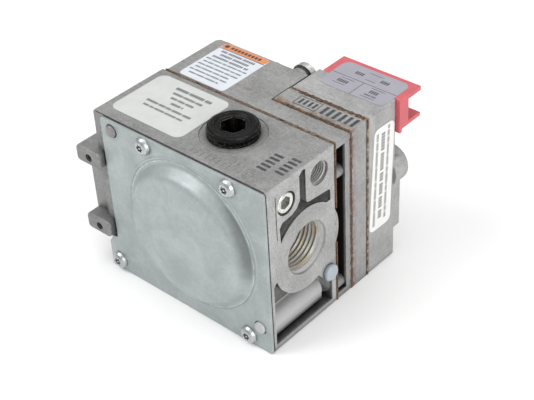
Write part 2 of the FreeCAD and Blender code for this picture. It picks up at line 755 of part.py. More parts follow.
def make_vent_plug():
    """White plastic push-in plug beside the outlet port."""
    piece = Piece("vent_plug")
    head = s.vent_head
    neck = head - 0.5
    half = outline((ZERO, -7.5), (2.1, -7.5), (2.35, -6.8), (2.35, 0.0), (neck, 0.0), (neck, 0.9),
                   (head, 0.9), (head, 1.8), (neck, 2.3), (ZERO, 2.4))
    return piece.turn("X", (s.vent_across, -s.vent_down), half)


def make_inlet_screen():
    """Fine strainer disc inside the inlet."""
    piece = Piece("inlet_screen")
    start = -s.inlet_bore_end
    piece.add("YZ", start, start + 0.7, circle(0, 0, s.port_step - 0.05))
    spacing = 2.6
    grid = [(row * spacing, column * spacing) for row in range(-3, 4) for column in range(-3, 4)]
    holes = [place for place in grid if math.hypot(*place) < 8.0]
    return piece.cut("YZ", start - 1, start + 1, *circles(holes, 0.9))


# ---------------------------------------------------------------- main valve

def make_diaphragm_plate():
    piece = Piece("diaphragm_plate")
    start = DIAPHRAGM_FRONT
    half = outline((s.stem_radius, start), (23, start), (23, start - 1.0), (8, start - 1.0),
                   (7, start - 1.6), (s.stem_radius, start - 1.6))
    return piece.turn("Y", VALVE_AXIS, half)


def make_main_stem():
    """Valve stem with its riveted head over the diaphragm plate."""
    piece = Piece("main_valve_stem")
    head = DIAPHRAGM_FRONT - 1.6
    half = outline((ZERO, head - 1.2), (3.6, head - 1.2), (4.2, head), (s.stem_radius, head),
                   (s.stem_radius, 10.4), (ZERO, 10.4))
    return piece.turn("Y", VALVE_AXIS, half)


def make_main_disc():
    piece = Piece("main_valve_disc")
    seat = s.seat_back
    half = outline((s.stem_radius, seat), (10.4, seat), (10.7, seat + 0.4), (10.7, seat + 2.0),
                   (s.stem_radius, seat + 2.0))
    return piece.turn("Y", VALVE_AXIS, half)


def make_main_retainer():
    piece = Piece("main_valve_retainer")
    face = s.seat_back + 2.0
    half = outline((s.stem_radius, face), (8.6, face), (8.6, face + 0.9), (4.4, face + 0.9),
                   (4.0, face + 1.4), (s.stem_radius, face + 1.4))
    return piece.turn("Y", VALVE_AXIS, half)


# ---------------------------------------------------------------- gas cock, knob, safety valve

def make_gas_cock():
    """Rotor with a cup below, a side port and the guide for the push rod."""
    piece = Piece("gas_cock_rotor")
    radius = s.cock_radius - 0.06
    half = outline((s.push_rod + 0.06, 24.3), (radius, 24.3), (radius, 40.0), (6.0, 40.0),
                   (6.0, 43.0), (s.push_rod + 0.06, 43.0))
    piece.turn("Y", COCK_AXIS, half)
    piece.cut("XZ", 24.3, 33, circle(*COCK_AXIS, 7.5))
    piece.cut("XY", 3.2, -3.2, rectangle((-53.8, -51), (25.8, 31)))
    piece.cut("YZ", -51, -57, circle(28.4, 0, 2.6))
    return piece


def make_cock_cap():
    """Cap over the gas cock: a spigot, a flange with two ears and a raised collar."""
    piece = Piece("gas_cock_cap")
    back = s.control_back
    radius = s.cock_radius - 0.1
    half = outline((s.push_rod + 0.1, 46.2), (radius, 46.2), (radius, back), (15.0, back),
                   (15.0, back + 1.4), (14.4, back + 2.0), (9.4, back + 2.0), (9.4, back + 4.4),
                   (7.6, back + 4.4), (7.6, back + 1.6), (s.push_rod + 0.1, back + 1.6))
    piece.turn("Y", COCK_AXIS, half)
    ears = rounded((COCK_AXIS[0] - 20, COCK_AXIS[0] + 20), (-4.5, 4.5), 3.8)
    piece.add("XZ", back, back + 1.4, ears)
    piece.cut("XZ", back + 5, 45, circle(*COCK_AXIS, s.push_rod + 0.1))
    places = cap_screw_places()
    piece.cut("XZ", back + 1.4, back - 1, *circles(places, s.cap_screw + s.screw_clearance * 2))
    piece.cut("XZ", back + 3, back + 1.4, *circles(places, s.cap_head + 0.4))
    return piece


def make_knob():
    """Control knob: fluted skirt over the collar, and a raised pointer on its face."""
    piece = Piece("control_knob")
    radius = s.knob_radius
    half = outline((s.push_rod, 55.6), (5.0, 55.6), (5.0, 60.5), (10.3, 60.5), (10.3, 54.5),
                   (radius, 54.5), (radius - 0.6, 64.6), (radius - 1.8, 65.8), (9.0, 66.0),
                   (8.4, 65.4), (ZERO, 65.4), (ZERO, 64.0), (s.push_rod, 64.0))
    piece.turn("Y", COCK_AXIS, half)
    flutes = [(COCK_AXIS[0] + (radius + 1.0) * math.cos(angle), (radius + 1.0) * math.sin(angle))
              for angle in [2 * math.pi * (i + 0.5) / 12 for i in range(12)]]
    piece.cut("XZ", 67, 56.5, *circles(flutes, 2.0))
    pointer = rounded((COCK_AXIS[0] - 1.0, COCK_AXIS[0] + 1.0), (1.0, 10.4), 0.9)
    return piece.add("XZ", 65.2, 66.5, pointer)


def make_push_rod():
    """The knob's stem: it turns the rotor and pushes the safety valve open."""
    piece = Piece("knob_stem")
    half = outline((ZERO, CONTROL_FRONT + 0.4), (1.4, CONTROL_FRONT + 0.4), (s.push_rod, 21.5),
                   (s.push_rod, 63.9), (ZERO, 63.9))
    return piece.turn("Y", COCK_AXIS, half)


def make_safety_disc():
    """Safety valve disc, held shut against the control body's front face."""
    piece = Piece("safety_valve_disc")
    half = outline((1.3, 15.4), (7.8, 15.4), (7.8, CONTROL_FRONT), (ZERO, CONTROL_FRONT),
                   (ZERO, CONTROL_FRONT - 0.7), (1.3, CONTROL_FRONT - 0.7))
    return piece.turn("Y", COCK_AXIS, half)


def make_safety_armature():
    """Armature of the safety valve: a stem and the disc that the magnet holds."""
    piece = Piece("safety_armature")
    half = outline((ZERO, 8.4), (4.4, 8.4), (4.4, 9.8), (1.3, 9.8), (1.3, CONTROL_FRONT - 0.7),
                   (ZERO, CONTROL_FRONT - 0.7))
    return piece.turn("Y", COCK_AXIS, half)


def make_power_unit():
    """Magnet of the safety valve in its can, standing on the wall of the inlet room."""
    piece = Piece("power_unit")
    half = outline((ZERO, -9.0), (7.2, -9.0), (7.2, 2.8), (5.6, 4.0), (5.6, 4.6), (ZERO, 4.6))
    return piece.turn("Y", COCK_AXIS, half)


# ---------------------------------------------------------------- regulator and pilot screw

def cross_slot(axis, reach, half_width):
    """Outline of a screwdriver slot across a turned piece."""
    across, up = axis
    return rectangle((across - reach, across + reach), (up - half_width, up + half_width))


def make_regulator_parts():
    """Cap with its seal, adjusting screw, spring seat, spring and valve, all on one axis."""
    bore = s.regulator_bore
    cap = outline((ZERO, 47.0), (bore - 0.1, 47.0), (bore - 0.1, 51.3), (5.5, 51.3), (5.5, 54.0),
                  (4.9, 54.7), (ZERO, 54.7))
    cap_piece = Piece("regulator_cap").turn("Y", REGULATOR_AXIS, cap)
    cap_piece.cut("XZ", 54.7, 53.3, cross_slot(REGULATOR_AXIS, 6, 0.7))
    seal = outline((bore + 0.05, 50.05), (4.5, 50.05), (4.9, 50.35), (4.9, 50.95), (4.5, 51.25),
                   (bore + 0.05, 51.25))
    Piece("regulator_cap_seal").turn("Y", REGULATOR_AXIS, seal)
    screw = outline((ZERO, 41.5), (bore - 0.07, 41.5), (bore - 0.07, 45.0), (bore - 0.4, 45.4),
                    (ZERO, 45.4))
    screw_piece = Piece("regulator_adjuster").turn("Y", REGULATOR_AXIS, screw)
    screw_piece.cut("XZ", 45.4, 44.2, cross_slot(REGULATOR_AXIS, 2.6, 0.4))
    seat = outline((ZERO, 39.6), (1.5, 39.6), (1.5, 40.4), (bore - 0.1, 40.4),
                   (bore - 0.1, 41.4), (ZERO, 41.4))
    Piece("regulator_spring_seat").turn("Y", REGULATOR_AXIS, seat)
    Piece("regulator_spring").coil(REGULATOR_AXIS, 2.4, 0.35, 33.1, 40.3, 5)
    valve = outline((ZERO, 31.2), (bore - 0.1, 31.2), (bore - 0.1, 33.0), (1.5, 33.0),
                    (1.5, 33.9), (ZERO, 33.9))
    Piece("regulator_valve").turn("Y", REGULATOR_AXIS, valve)


def make_pilot_screw():
    """Pilot flow adjusting screw with a needle tip."""
    radius = s.pilot_screw_radius
    half = outline((ZERO, 35.7), (0.9, 37.5), (radius, 39.0), (radius, 46.6),
                   (radius - 0.4, 47.2), (ZERO, 47.2))
    piece = Piece("pilot_adjuster").turn("Y", PILOT_SCREW_AXIS, half)
    return piece.cut("XZ", 47.2, 46.0, cross_slot(PILOT_SCREW_AXIS, 2.2, 0.4))


# ---------------------------------------------------------------- operator and terminals

def make_operator_parts():
    """Coil, iron core, rocking armature on its pin, servo valve and return spring."""
    radius = s.coil_bore - 0.3
    coil = outline((2.1, 43.0), (radius, 43.0), (radius, 44.2), (4.9, 44.2), (4.9, 59.0),
                   (radius, 59.0), (radius, 60.2), (2.1, 60.2))
    Piece("operator_coil").turn("Y", COIL_AXIS, coil)
    core = outline((ZERO, 41.0), (2.05, 41.0), (2.05, 61.4), (ZERO, 61.4))
    Piece("operator_core").turn("Y", COIL_AXIS, core)
    middle = s.armature_middle
    pivot = (-s.armature_pivot_along, middle)
    armature = Piece("operator_armature")
    armature.add("XZ", middle - 0.6, middle + 0.6, rounded((pivot[0], -3.5), (-3.5, 8.5), 1.5))
    armature.add("XY", -3.5, 8.5, circle(*pivot, 1.6))
    armature.cut("XY", 9.5, -4.5, circle(*pivot, 0.86))
    Piece("armature_pin").add("XY", -26.3, 13.3, circle(*pivot, 0.8))
    servo = outline((ZERO, 31.0), (2.6, 31.0), (2.6, 32.4), (1.2, 32.6), (1.2, middle - 0.6),
                    (ZERO, middle - 0.6))
    Piece("servo_valve").turn("Y", (-s.servo_along, s.coil_up), servo)
    Piece("operator_spring").coil((-18.5, s.coil_up), 2.2, 0.3, middle + 0.7, 50.4, 5)


def make_terminal_block():
    """Moulded terminal strip: a web with two shelves, barriers and two mounting pegs."""
    piece = Piece("terminal_block")
    top = s.half_height
    back = s.block_back
    side = outline((s.cover_back, top), (s.cover_back, s.block_bottom), (56.4, s.block_bottom),
                   (56.4, s.shelf_bottom), (back, s.shelf_bottom), (back, s.shelf_top),
                   (s.block_web, s.shelf_top), (s.block_web, top - s.block_flange),
                   (back, top - s.block_flange), (back, top))
    piece.add("YZ", -s.block_left, s.block_right, side)
    barrier = rectangle((s.block_web - 0.5, back - 1.2),
                        (s.shelf_top - 0.5, top - s.block_flange + 0.5))
    for along in barrier_places():
        piece.add("YZ", along - 0.8, along + 0.8, barrier)
    piece.fillet(0.5, lambda edge: abs_tangent(edge, "x"))
    piece.add("XZ", s.cover_back + 0.5, 50.0, *circles(peg_places(), 2.2))
    return piece.cut("XZ", s.block_web, s.cover_back + 0.8, *circles(terminal_places(), 1.6))


def abs_tangent(edge, axis):
    if not straight(edge):
        return False
    return abs(getattr(edge.tangentAt(edge.FirstParameter), axis)) > 0.99 and edge.Length > 20


def terminal_middle():
    return (s.block_right - s.block_left) * 0.5


def barrier_places():
    return [terminal_middle() - s.terminal_spacing * 0.5, terminal_middle() + s.terminal_spacing * 0.5]


def terminal_places():
    up = (s.shelf_top + s.half_height - s.block_flange) * 0.5
    return [(terminal_middle() + s.terminal_spacing * i, up) for i in (-1, 0, 1)]


def make_terminal_plates():
    piece = Piece("terminal_plates", several=True)
    for across, up in terminal_places():
        plate = rounded((across - 4.2, across + 4.2), (up - 4.1, up + 4.1), 0.8)
        piece.add("XZ", s.block_web, s.block_web + 0.9, plate)
    piece.cut("XZ", s.block_web + 0.9, s.block_web - 1, *circles(terminal_places(), 1.75))
    return piece


# ---------------------------------------------------------------- labels

def endways(edge):
    return straight(edge) and abs(edge.tangentAt(edge.FirstParameter).x) > 0.99


def make_label(label, plane, start, end, shape):
    return Piece(label).add(plane, start, end, shape)


def make_labels():
    top = s.half_height
    sheet = s.label_sheet
    make_label("rating_label", "XY", top, top + sheet, rounded((-85.4, -47.8), (-16.0, 13.9), 3.6))
    make_label("caution_label", "XY", top, top + sheet, rounded((-81.4, -57.0), (18.3, 47.2), 1.8))
    make_label("terminal_label", "XY", top, top + sheet, rounded((-32.6, -0.8), (46.9, 66.0), 3.4))
    askew = outline((37.8, -17.8), (51.6, -18.2), (53.9, 30.0), (41.2, 30.4))
    make_label("side_label", "YZ", ZERO, sheet, askew).fillet(2.8, endways)


# ---------------------------------------------------------------- the whole valve

def make_valve():
    make_main_body()
    make_control_body()
    make_operator_plate()
    make_operator_cover()
    make_body_gasket()
    nozzle_way = circle(-s.servo_along, s.coil_up, 3.5)
    make_operator_gasket("operator_gasket", s.slab_back, PLATE_FRONT, nozzle_way)
    armature_room = rounded((-33, -3), (-25, 12), 2)
    make_operator_gasket("cover_gasket", s.plate_back, COVER_FRONT, armature_room)
    make_diaphragm_cover()
    make_main_diaphragm()
    make_screws("cover_screws", COVER_SCREWS, COVER_OUTSIDE, -1, s.cover_head, 2.3, 8.5)
    make_screws("body_screws", BODY_SCREWS, s.control_back, 1, 3.6, 2.3, 38.6)
    make_screws("operator_screws", LONG_SCREWS, s.cover_back - 4, 1, 3.0, 2.2, 30.0)
    make_screws("cap_screws", cap_screw_places(), s.control_back + 1.4, 1, s.cap_head, 1.5, 3.0,
                s.cap_screw, pin=False)
    make_screws("terminal_screws", terminal_places(), s.block_web + 0.9, 1, 3.1, 2.0, 5.6,
                s.terminal_screw, pin=False)
    make_side_plug()
    make_tap_plug()
    make_vent_plug()
    make_inlet_screen()
    make_diaphragm_plate()
    make_main_stem()
    make_main_disc()
    make_main_retainer()
    Piece("main_valve_spring").coil(VALVE_AXIS, 6.2, 0.45, 10.0, 23.3, 5)
    make_gas_cock()
    Piece("gas_cock_spring").coil(COCK_AXIS, 8.0, 0.6, 40.1, 46.1, 2)
    make_cock_cap()
    make_knob()
    make_push_rod()
    Piece("knob_spring").coil(COCK_AXIS, 6.3, 0.4, 50.1, 60.4, 4)
    make_safety_disc()
    make_safety_armature()
    Piece("safety_valve_spring").coil(COCK_AXIS, 6.4, 0.4, 4.2, 15.3, 4)
    make_power_unit()
    make_regulator_parts()
    make_pilot_screw()
    make_operator_parts()
    make_terminal_block()
    make_terminal_plates()
    make_labels()


def check_objects():
    for item in doc.Objects:
        if "Invalid" in item.State or "Error" in item.State:
            raise ValueError(f"{item.Label} failed: {item.State}")


def write_pieces():
    os.makedirs("parts", exist_ok=True)
    bodies = [item for item in doc.Objects if item.TypeId == "PartDesign::Body"]
    for body in bodies:
        if body.Shape.isNull() or not body.Shape.isValid():
            raise ValueError(f"{body.Label} has no valid shape")
    for body in bodies:
        body.Shape.exportStep(os.path.join("parts", f"{body.Label}.step"))


make_valve()
doc.recompute()
check_objects()
write_pieces()
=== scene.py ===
import json
import math
import random

import bpy
from mathutils import Matrix, Vector


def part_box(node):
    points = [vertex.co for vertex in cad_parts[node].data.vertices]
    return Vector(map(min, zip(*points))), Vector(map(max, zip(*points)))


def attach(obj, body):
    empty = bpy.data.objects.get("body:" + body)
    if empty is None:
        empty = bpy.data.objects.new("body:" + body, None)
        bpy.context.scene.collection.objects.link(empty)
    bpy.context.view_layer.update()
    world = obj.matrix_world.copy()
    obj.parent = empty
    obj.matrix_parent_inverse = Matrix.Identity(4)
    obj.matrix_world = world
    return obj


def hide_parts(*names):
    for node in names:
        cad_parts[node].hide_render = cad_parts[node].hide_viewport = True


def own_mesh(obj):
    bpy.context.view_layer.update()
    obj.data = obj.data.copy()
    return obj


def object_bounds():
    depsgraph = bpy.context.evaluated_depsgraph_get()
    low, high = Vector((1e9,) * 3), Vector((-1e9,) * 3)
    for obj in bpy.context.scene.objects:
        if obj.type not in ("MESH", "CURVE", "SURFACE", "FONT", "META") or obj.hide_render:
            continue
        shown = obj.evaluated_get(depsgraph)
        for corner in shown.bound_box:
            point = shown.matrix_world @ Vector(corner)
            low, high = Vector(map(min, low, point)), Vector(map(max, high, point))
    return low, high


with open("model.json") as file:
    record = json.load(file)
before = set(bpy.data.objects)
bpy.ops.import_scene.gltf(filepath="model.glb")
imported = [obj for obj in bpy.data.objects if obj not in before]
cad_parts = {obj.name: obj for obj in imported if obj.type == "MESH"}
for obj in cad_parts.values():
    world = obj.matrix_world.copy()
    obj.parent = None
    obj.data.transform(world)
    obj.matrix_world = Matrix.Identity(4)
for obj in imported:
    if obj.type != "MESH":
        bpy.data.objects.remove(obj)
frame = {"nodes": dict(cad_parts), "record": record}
cad_low, cad_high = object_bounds()

# Places and sizes are in millimetres in the row frame, and MM turns them into metres. The origin
# is the middle of the outlet mouth: x out of the outlet, y from the cover to the knob, z up.
MM = 0.001
HOUSING = "housing"

OUTLET_AXIS = (0, 0, 0)
PORT_BOSS_RADIUS = 18.5
PORT_BORE_RADIUS = 10.9
PLUG_AXIS = (-34.3, -0.2, 0)
PILOT_AXIS = (0, 7.9, 30.2)
TUBE_AXIS = (-7.0, 0, -29.0)
TUBE_RADIUS = 5.6
DOME_AXIS = (-38.5, 0, 1.7)
KNOB_X = -63.0

RUST = (0.19, 0.105, 0.058)
# Near black painted as shade in the control body's deep channel.
CHANNEL_SHADE = (0.018, 0.014, 0.012)


def scaled(tone, factor):
    """A colour made darker or paler, held at white."""
    return tuple(min(1.0, c * factor) for c in tone)


def grey(lightness):
    """The alloy's neutral grey."""
    return (lightness, lightness, lightness * 0.99)


# ---------------------------------------------------------------- materials

class Look:
    """A procedural material, patterned in the object's own coordinates, in millimetres."""

    def __init__(self, name, **sockets):
        self.material = bpy.data.materials.new(name)
        self.material.use_nodes = True
        tree = self.material.node_tree
        self.nodes, self.links = tree.nodes, tree.links
        self.shader = self.nodes["Principled BSDF"]
        for socket, value in sockets.items():
            self.shader.inputs[socket.replace("_", " ")].default_value = value
        coordinates = self.nodes.new("ShaderNodeTexCoord")
        scale = self.nodes.new("ShaderNodeVectorMath")
        scale.operation = "SCALE"
        scale.inputs["Scale"].default_value = 1.0 / MM
        self.links.new(coordinates.outputs["Object"], scale.inputs[0])
        self.place = scale.outputs[0]
        self.axes = None

    def put(self, socket, source):
        """Feeds a socket from another node's output, or sets its value."""
        if hasattr(source, "links"):
            self.links.new(source, socket)
        else:
            socket.default_value = source

    def stretched(self, factors, turn=0.0):
        """The place turned about z by an angle, with each axis scaled."""
        node = self.nodes.new("ShaderNodeMapping")
        node.vector_type = "POINT"
        node.inputs["Rotation"].default_value = (0, 0, turn)
        node.inputs["Scale"].default_value = factors
        self.links.new(self.place, node.inputs["Vector"])
        return node.outputs[0]

    def noise(self, per_mm, detail=4.0, rough=0.6, place=None, distortion=0.0):
        node = self.nodes.new("ShaderNodeTexNoise")
        node.inputs["Scale"].default_value = per_mm
        node.inputs["Detail"].default_value = detail
        node.inputs["Roughness"].default_value = rough
        node.inputs["Distortion"].default_value = distortion
        self.links.new(place or self.place, node.inputs["Vector"])
        return node.outputs["Fac"]

    def cells(self, per_mm):
        """Distance from the middles of scattered cells."""
        node = self.nodes.new("ShaderNodeTexVoronoi")
        node.feature = "F1"
        node.inputs["Scale"].default_value = per_mm
        self.links.new(self.place, node.inputs["Vector"])
        return node.outputs["Distance"]

    def waves(self, per_mm, axis="X", distortion=0.0):
        node = self.nodes.new("ShaderNodeTexWave")
        node.bands_direction = axis
        node.inputs["Scale"].default_value = per_mm
        node.inputs["Distortion"].default_value = distortion
        self.links.new(self.place, node.inputs["Vector"])
        return node.outputs["Fac"]

    def along(self, axis):
        """The place along X, Y or Z in millimetres."""
        if self.axes is None:
            self.axes = self.nodes.new("ShaderNodeSeparateXYZ")
            self.links.new(self.place, self.axes.inputs[0])
        return self.axes.outputs[axis]

    def math(self, operation, a, b=0.0):
        node = self.nodes.new("ShaderNodeMath")
        node.operation = operation
        for socket, source in zip(node.inputs, (a, b)):
            self.put(socket, source)
        return node.outputs[0]

    def both(self, mask, *others):
        """Masks multiplied together."""
        for other in others:
            mask = self.math("MULTIPLY", mask, other)
        return mask

    def weighted(self, *pairs):
        """Sum of values, each with its weight."""
        total = self.math("MULTIPLY", *pairs[-1])
        for value, weight in reversed(pairs[:-1]):
            total = self.math("ADD", self.math("MULTIPLY", value, weight), total)
        return total

    def steps(self, value, low, high, bottom=0.0, top=1.0):
        """Value taken smoothly from bottom at low to top at high, and held there outside."""
        node = self.nodes.new("ShaderNodeMapRange")
        node.interpolation_type = "SMOOTHSTEP"
        for socket, source in zip(node.inputs, (value, low, high, bottom, top)):
            self.put(socket, source)
        return node.outputs[0]

    def near(self, axis, middle, reach):
        """1 on a plane across an axis, falling to 0 at reach millimetres from it."""
        away = self.math("ABSOLUTE", self.math("SUBTRACT", self.along(axis), middle))
        return self.steps(away, 0.0, reach, 1.0, 0.0)

    def between(self, axis, low, high):
        """1 between two places along an axis, falling to 0 over 0.4 mm at each."""
        place = self.along(axis)
        return self.both(self.steps(place, low - 0.2, low + 0.2),
                         self.steps(place, high + 0.2, high - 0.2))

    def inside(self, **spans):
        """1 inside a box, given by its low and high place along some of X, Y and Z."""
        return self.both(*[self.between(axis, *span) for axis, span in spans.items()])

    def radius(self, axis, centre):
        """Distance in millimetres from an axis along X, Y or Z through a centre."""
        others = [i for i in range(3) if "XYZ"[i] != axis]
        squares = []
        for i in others:
            away = self.math("SUBTRACT", self.along("XYZ"[i]), centre[i])
            squares.append(self.math("MULTIPLY", away, away))
        return self.math("SQRT", self.math("ADD", *squares))

    def shade(self, reach, dark):
        """Painted shade in corners and recesses: dark where nearby faces close them in, 1 in the
        open.
        """
        node = self.nodes.new("ShaderNodeAmbientOcclusion")
        node.samples = 8
        node.inputs["Distance"].default_value = reach * MM
        return self.steps(node.outputs["AO"], 0.25, 0.85, dark, 1.0)

    def dim(self, colour, factor):
        """A colour times a factor."""
        node = self.nodes.new("ShaderNodeVectorMath")
        node.operation = "SCALE"
        self.put(node.inputs[0], colour)
        self.put(node.inputs["Scale"], factor)
        return node.outputs[0]

    def dim_where(self, colour, mask, factor):
        """A colour times a factor where a mask is 1, and unchanged where it is 0."""
        return self.dim(colour, self.steps(mask, 0.0, 1.0, 1.0, factor))

    def blend(self, mask, first, second):
        """The first colour where a mask is 0, and the second where it is 1."""
        node = self.nodes.new("ShaderNodeMix")
        node.data_type = "RGBA"
        self.put(node.inputs[0], mask)
        for socket, colour in ((node.inputs[6], first), (node.inputs[7], second)):
            self.put(socket, (*colour, 1.0) if isinstance(colour, tuple) else colour)
        return node.outputs[2]

    def lay(self, under, over, mask, share):
        """A colour laid over another where a mask says, up to a share."""
        return self.blend(self.math("MULTIPLY", mask, share), under, over)

    def edges(self, reach):
        """1 along sharp outer edges and rims, 0 on flat faces."""
        bevel = self.nodes.new("ShaderNodeBevel")
        bevel.samples = 6
        bevel.inputs["Radius"].default_value = reach * MM
        geometry = self.nodes.new("ShaderNodeNewGeometry")
        dot = self.nodes.new("ShaderNodeVectorMath")
        dot.operation = "DOT_PRODUCT"
        self.links.new(bevel.outputs[0], dot.inputs[0])
        self.links.new(geometry.outputs["Normal"], dot.inputs[1])
        return self.steps(dot.outputs["Value"], 0.985, 0.86, 0.0, 1.0)

    def relief(self, height, depth, strength=1.0, rounding=0.0):
        """A bump of that depth, over edges softened to a radius, both in millimetres."""
        bump = self.nodes.new("ShaderNodeBump")
        bump.inputs["Strength"].default_value = strength
        bump.inputs["Distance"].default_value = depth * MM
        self.put(bump.inputs["Height"], height)
        if rounding:
            bevel = self.nodes.new("ShaderNodeBevel")
            bevel.samples = 6
            bevel.inputs["Radius"].default_value = rounding * MM
            self.links.new(bevel.outputs[0], bump.inputs["Normal"])
        return bump.outputs[0]

    def finish(self, colour, roughness=None, normal=None):
        """Feeds the shader and gives the material."""
        for name, source in (("Base Color", colour), ("Roughness", roughness), ("Normal", normal)):
            if source is not None:
                self.put(self.shader.inputs[name], source)
        return self.material


def casting_look(name, tone, bleed, grain=1.0, stain=0.5, soil=0.10, details=None):
    """Die-cast alloy: grain, blotches, pits, drag lines, bright edges, brown bleed by gaskets.

    Bleed is levels along y and how far the brown reaches from each, and stain is its strength.
    The argument after stain sets how dark the shade painted into corners and recesses is, from 0
    for black to 1 for none. Details is a function that adds what one casting has of its own to its
    colour, height and light, the factor of that painted shade.
    """
    look = Look(name, Metallic=0.35)
    fine = look.noise(1.5, 4, 0.75)
    coarse = look.noise(0.55, 4, 0.7)
    blotch = look.noise(0.085, 3, 0.55)
    share = look.weighted((fine, 0.70 * grain), (coarse, 0.40), (blotch, 0.35))
    middle = 0.35 * grain + 0.375
    share = look.steps(share, middle - 0.27, middle + 0.27)
    colour = look.blend(share, scaled(tone, 0.60), scaled(tone, 1.38))

    pits = look.both(look.steps(look.cells(0.75), 0.16, 0.05),
                     look.steps(look.noise(0.21, 2), 0.48, 0.60))
    colour = look.lay(colour, scaled(tone, 0.32), pits, 0.5)
    for turn, per_mm in ((0.5, 0.9), (-0.35, 1.1)):
        drag = look.noise(per_mm, 3, 0.6, look.stretched((0.10, 2.4, 0.10), turn))
        drag = look.both(look.steps(drag, 0.60, 0.68), look.steps(look.noise(0.06, 2), 0.48, 0.60))
        colour = look.lay(colour, scaled(tone, 1.75), drag, 0.5)
    height = look.math("SUBTRACT", fine, look.math("ADD", pits, pits))
    edge = look.both(look.edges(0.35), look.steps(look.noise(0.9, 3), 0.35, 0.6))
    colour = look.lay(colour, scaled(tone, 1.9), edge, 0.6)

    patch = look.steps(look.noise(0.35, 4, 0.7), 0.38, 0.58)
    for level, reach in bleed:
        colour = look.lay(colour, RUST, look.both(look.near("Y", level, reach), patch), stain)
    # light is the shade painted in corners and recesses, 1 in the open.
    light = look.shade(7.0, soil)
    if details:
        colour, height, light = details(look, tone, fine, colour, height, light)
    colour = look.dim(colour, light)
    roughness = look.steps(coarse, 0.2, 0.8, 0.42, 0.62)
    return look.finish(colour, roughness, look.relief(height, 0.06, 0.9, 0.3))


def turned_port(look, tone, colour, height):
    """A bright machined end face at the outlet, with turning rings on the boss round its mouth."""
    away = look.radius("X", OUTLET_AXIS)
    machined = look.near("X", 0.0, 0.4)
    colour = look.dim_where(colour, machined, 1.5)
    rings = look.math("SINE", look.math("MULTIPLY", away, 7.5))
    face = look.both(machined, look.steps(away, PORT_BOSS_RADIUS + 0.3, PORT_BOSS_RADIUS))
    colour = look.blend(look.both(face, look.steps(rings, 0.1, 0.9, 0.0, 0.16)), colour,
                        scaled(tone, 0.6))
    return colour, look.math("ADD", height, look.math("MULTIPLY", face, rings))


def body_details(look, tone, fine, colour, height, light):
    """The body's machined port, bores painted light, painted shade low in the end pockets and round
    the tube, and a darker handled inlet end.
    """
    colour, height = turned_port(look, tone, colour, height)
    # The painted corner shade is lifted in the upper end pocket.
    upper_pocket = look.inside(X=(-7.6, -1.0), Z=(4.0, 36.4), Y=(-20.4, 14.6))
    light = look.math("MAXIMUM", light, upper_pocket)

    # Painted light: the port bores and the cored tube are laid lighter and lose the painted shade.
    for axis, centre, radius, lightness, x_span in (
            ("X", OUTLET_AXIS, PORT_BORE_RADIUS, 0.95, (-16.2, -0.9)),
            ("X", OUTLET_AXIS, PORT_BORE_RADIUS, 0.55, (-98.2, -82.8)),
            ("Y", TUBE_AXIS, TUBE_RADIUS, 0.50, (-15.0, -0.9))):
        away = look.radius(axis, centre)
        lit_bore = look.both(look.between("X", *x_span),
                          look.steps(away, radius + 0.2, radius - 0.1))
        bright = look.blend(fine, (lightness * 0.8,) * 3, (lightness * 1.2,) * 3)
        colour = look.lay(colour, bright, lit_bore, 0.85)
        light = look.math("MAXIMUM", light, lit_bore)

    # Painted shade on the low part of the end pockets, under the tube.
    pocket_foot_shade = look.both(look.inside(X=(-7.6, -0.9), Y=(-20.2, 14.4)),
                            look.steps(look.along("Z"), -29.5, -33.0))
    colour = look.dim_where(colour, pocket_foot_shade, 0.55)
    # Painted shade on the pocket floor round the tube.
    behind_tube_shade = look.both(look.inside(X=(-8.2, -5.6), Z=(-37.0, -16.0)),
                            look.steps(look.radius("Y", TUBE_AXIS), TUBE_RADIUS, TUBE_RADIUS + 0.3))
    colour = look.dim_where(colour, behind_tube_shade, 0.6)
    handled = look.both(look.steps(look.along("X"), -84.0, -86.0),
                        look.steps(look.along("Y"), -20.0, -23.0))
    return look.dim_where(colour, handled, 0.84), height, light


def channel_details(look, tone, fine, colour, height, light):
    """Painted shade in the deep channel of the control body, but not on the pillars that cross it."""
    # Painted shade: the channel is laid near black.
    deep = look.both(look.between("Y", 17.5, 23.3), look.steps(look.along("X"), -0.5, -1.5),
                     look.between("Z", -36.0, 36.0))
    for up in (21.8, -32.8):
        deep = look.both(deep, look.steps(look.radius("Y", (-3.7, 0, up)), 2.85, 3.0))
    return look.blend(deep, colour, CHANNEL_SHADE), height, light


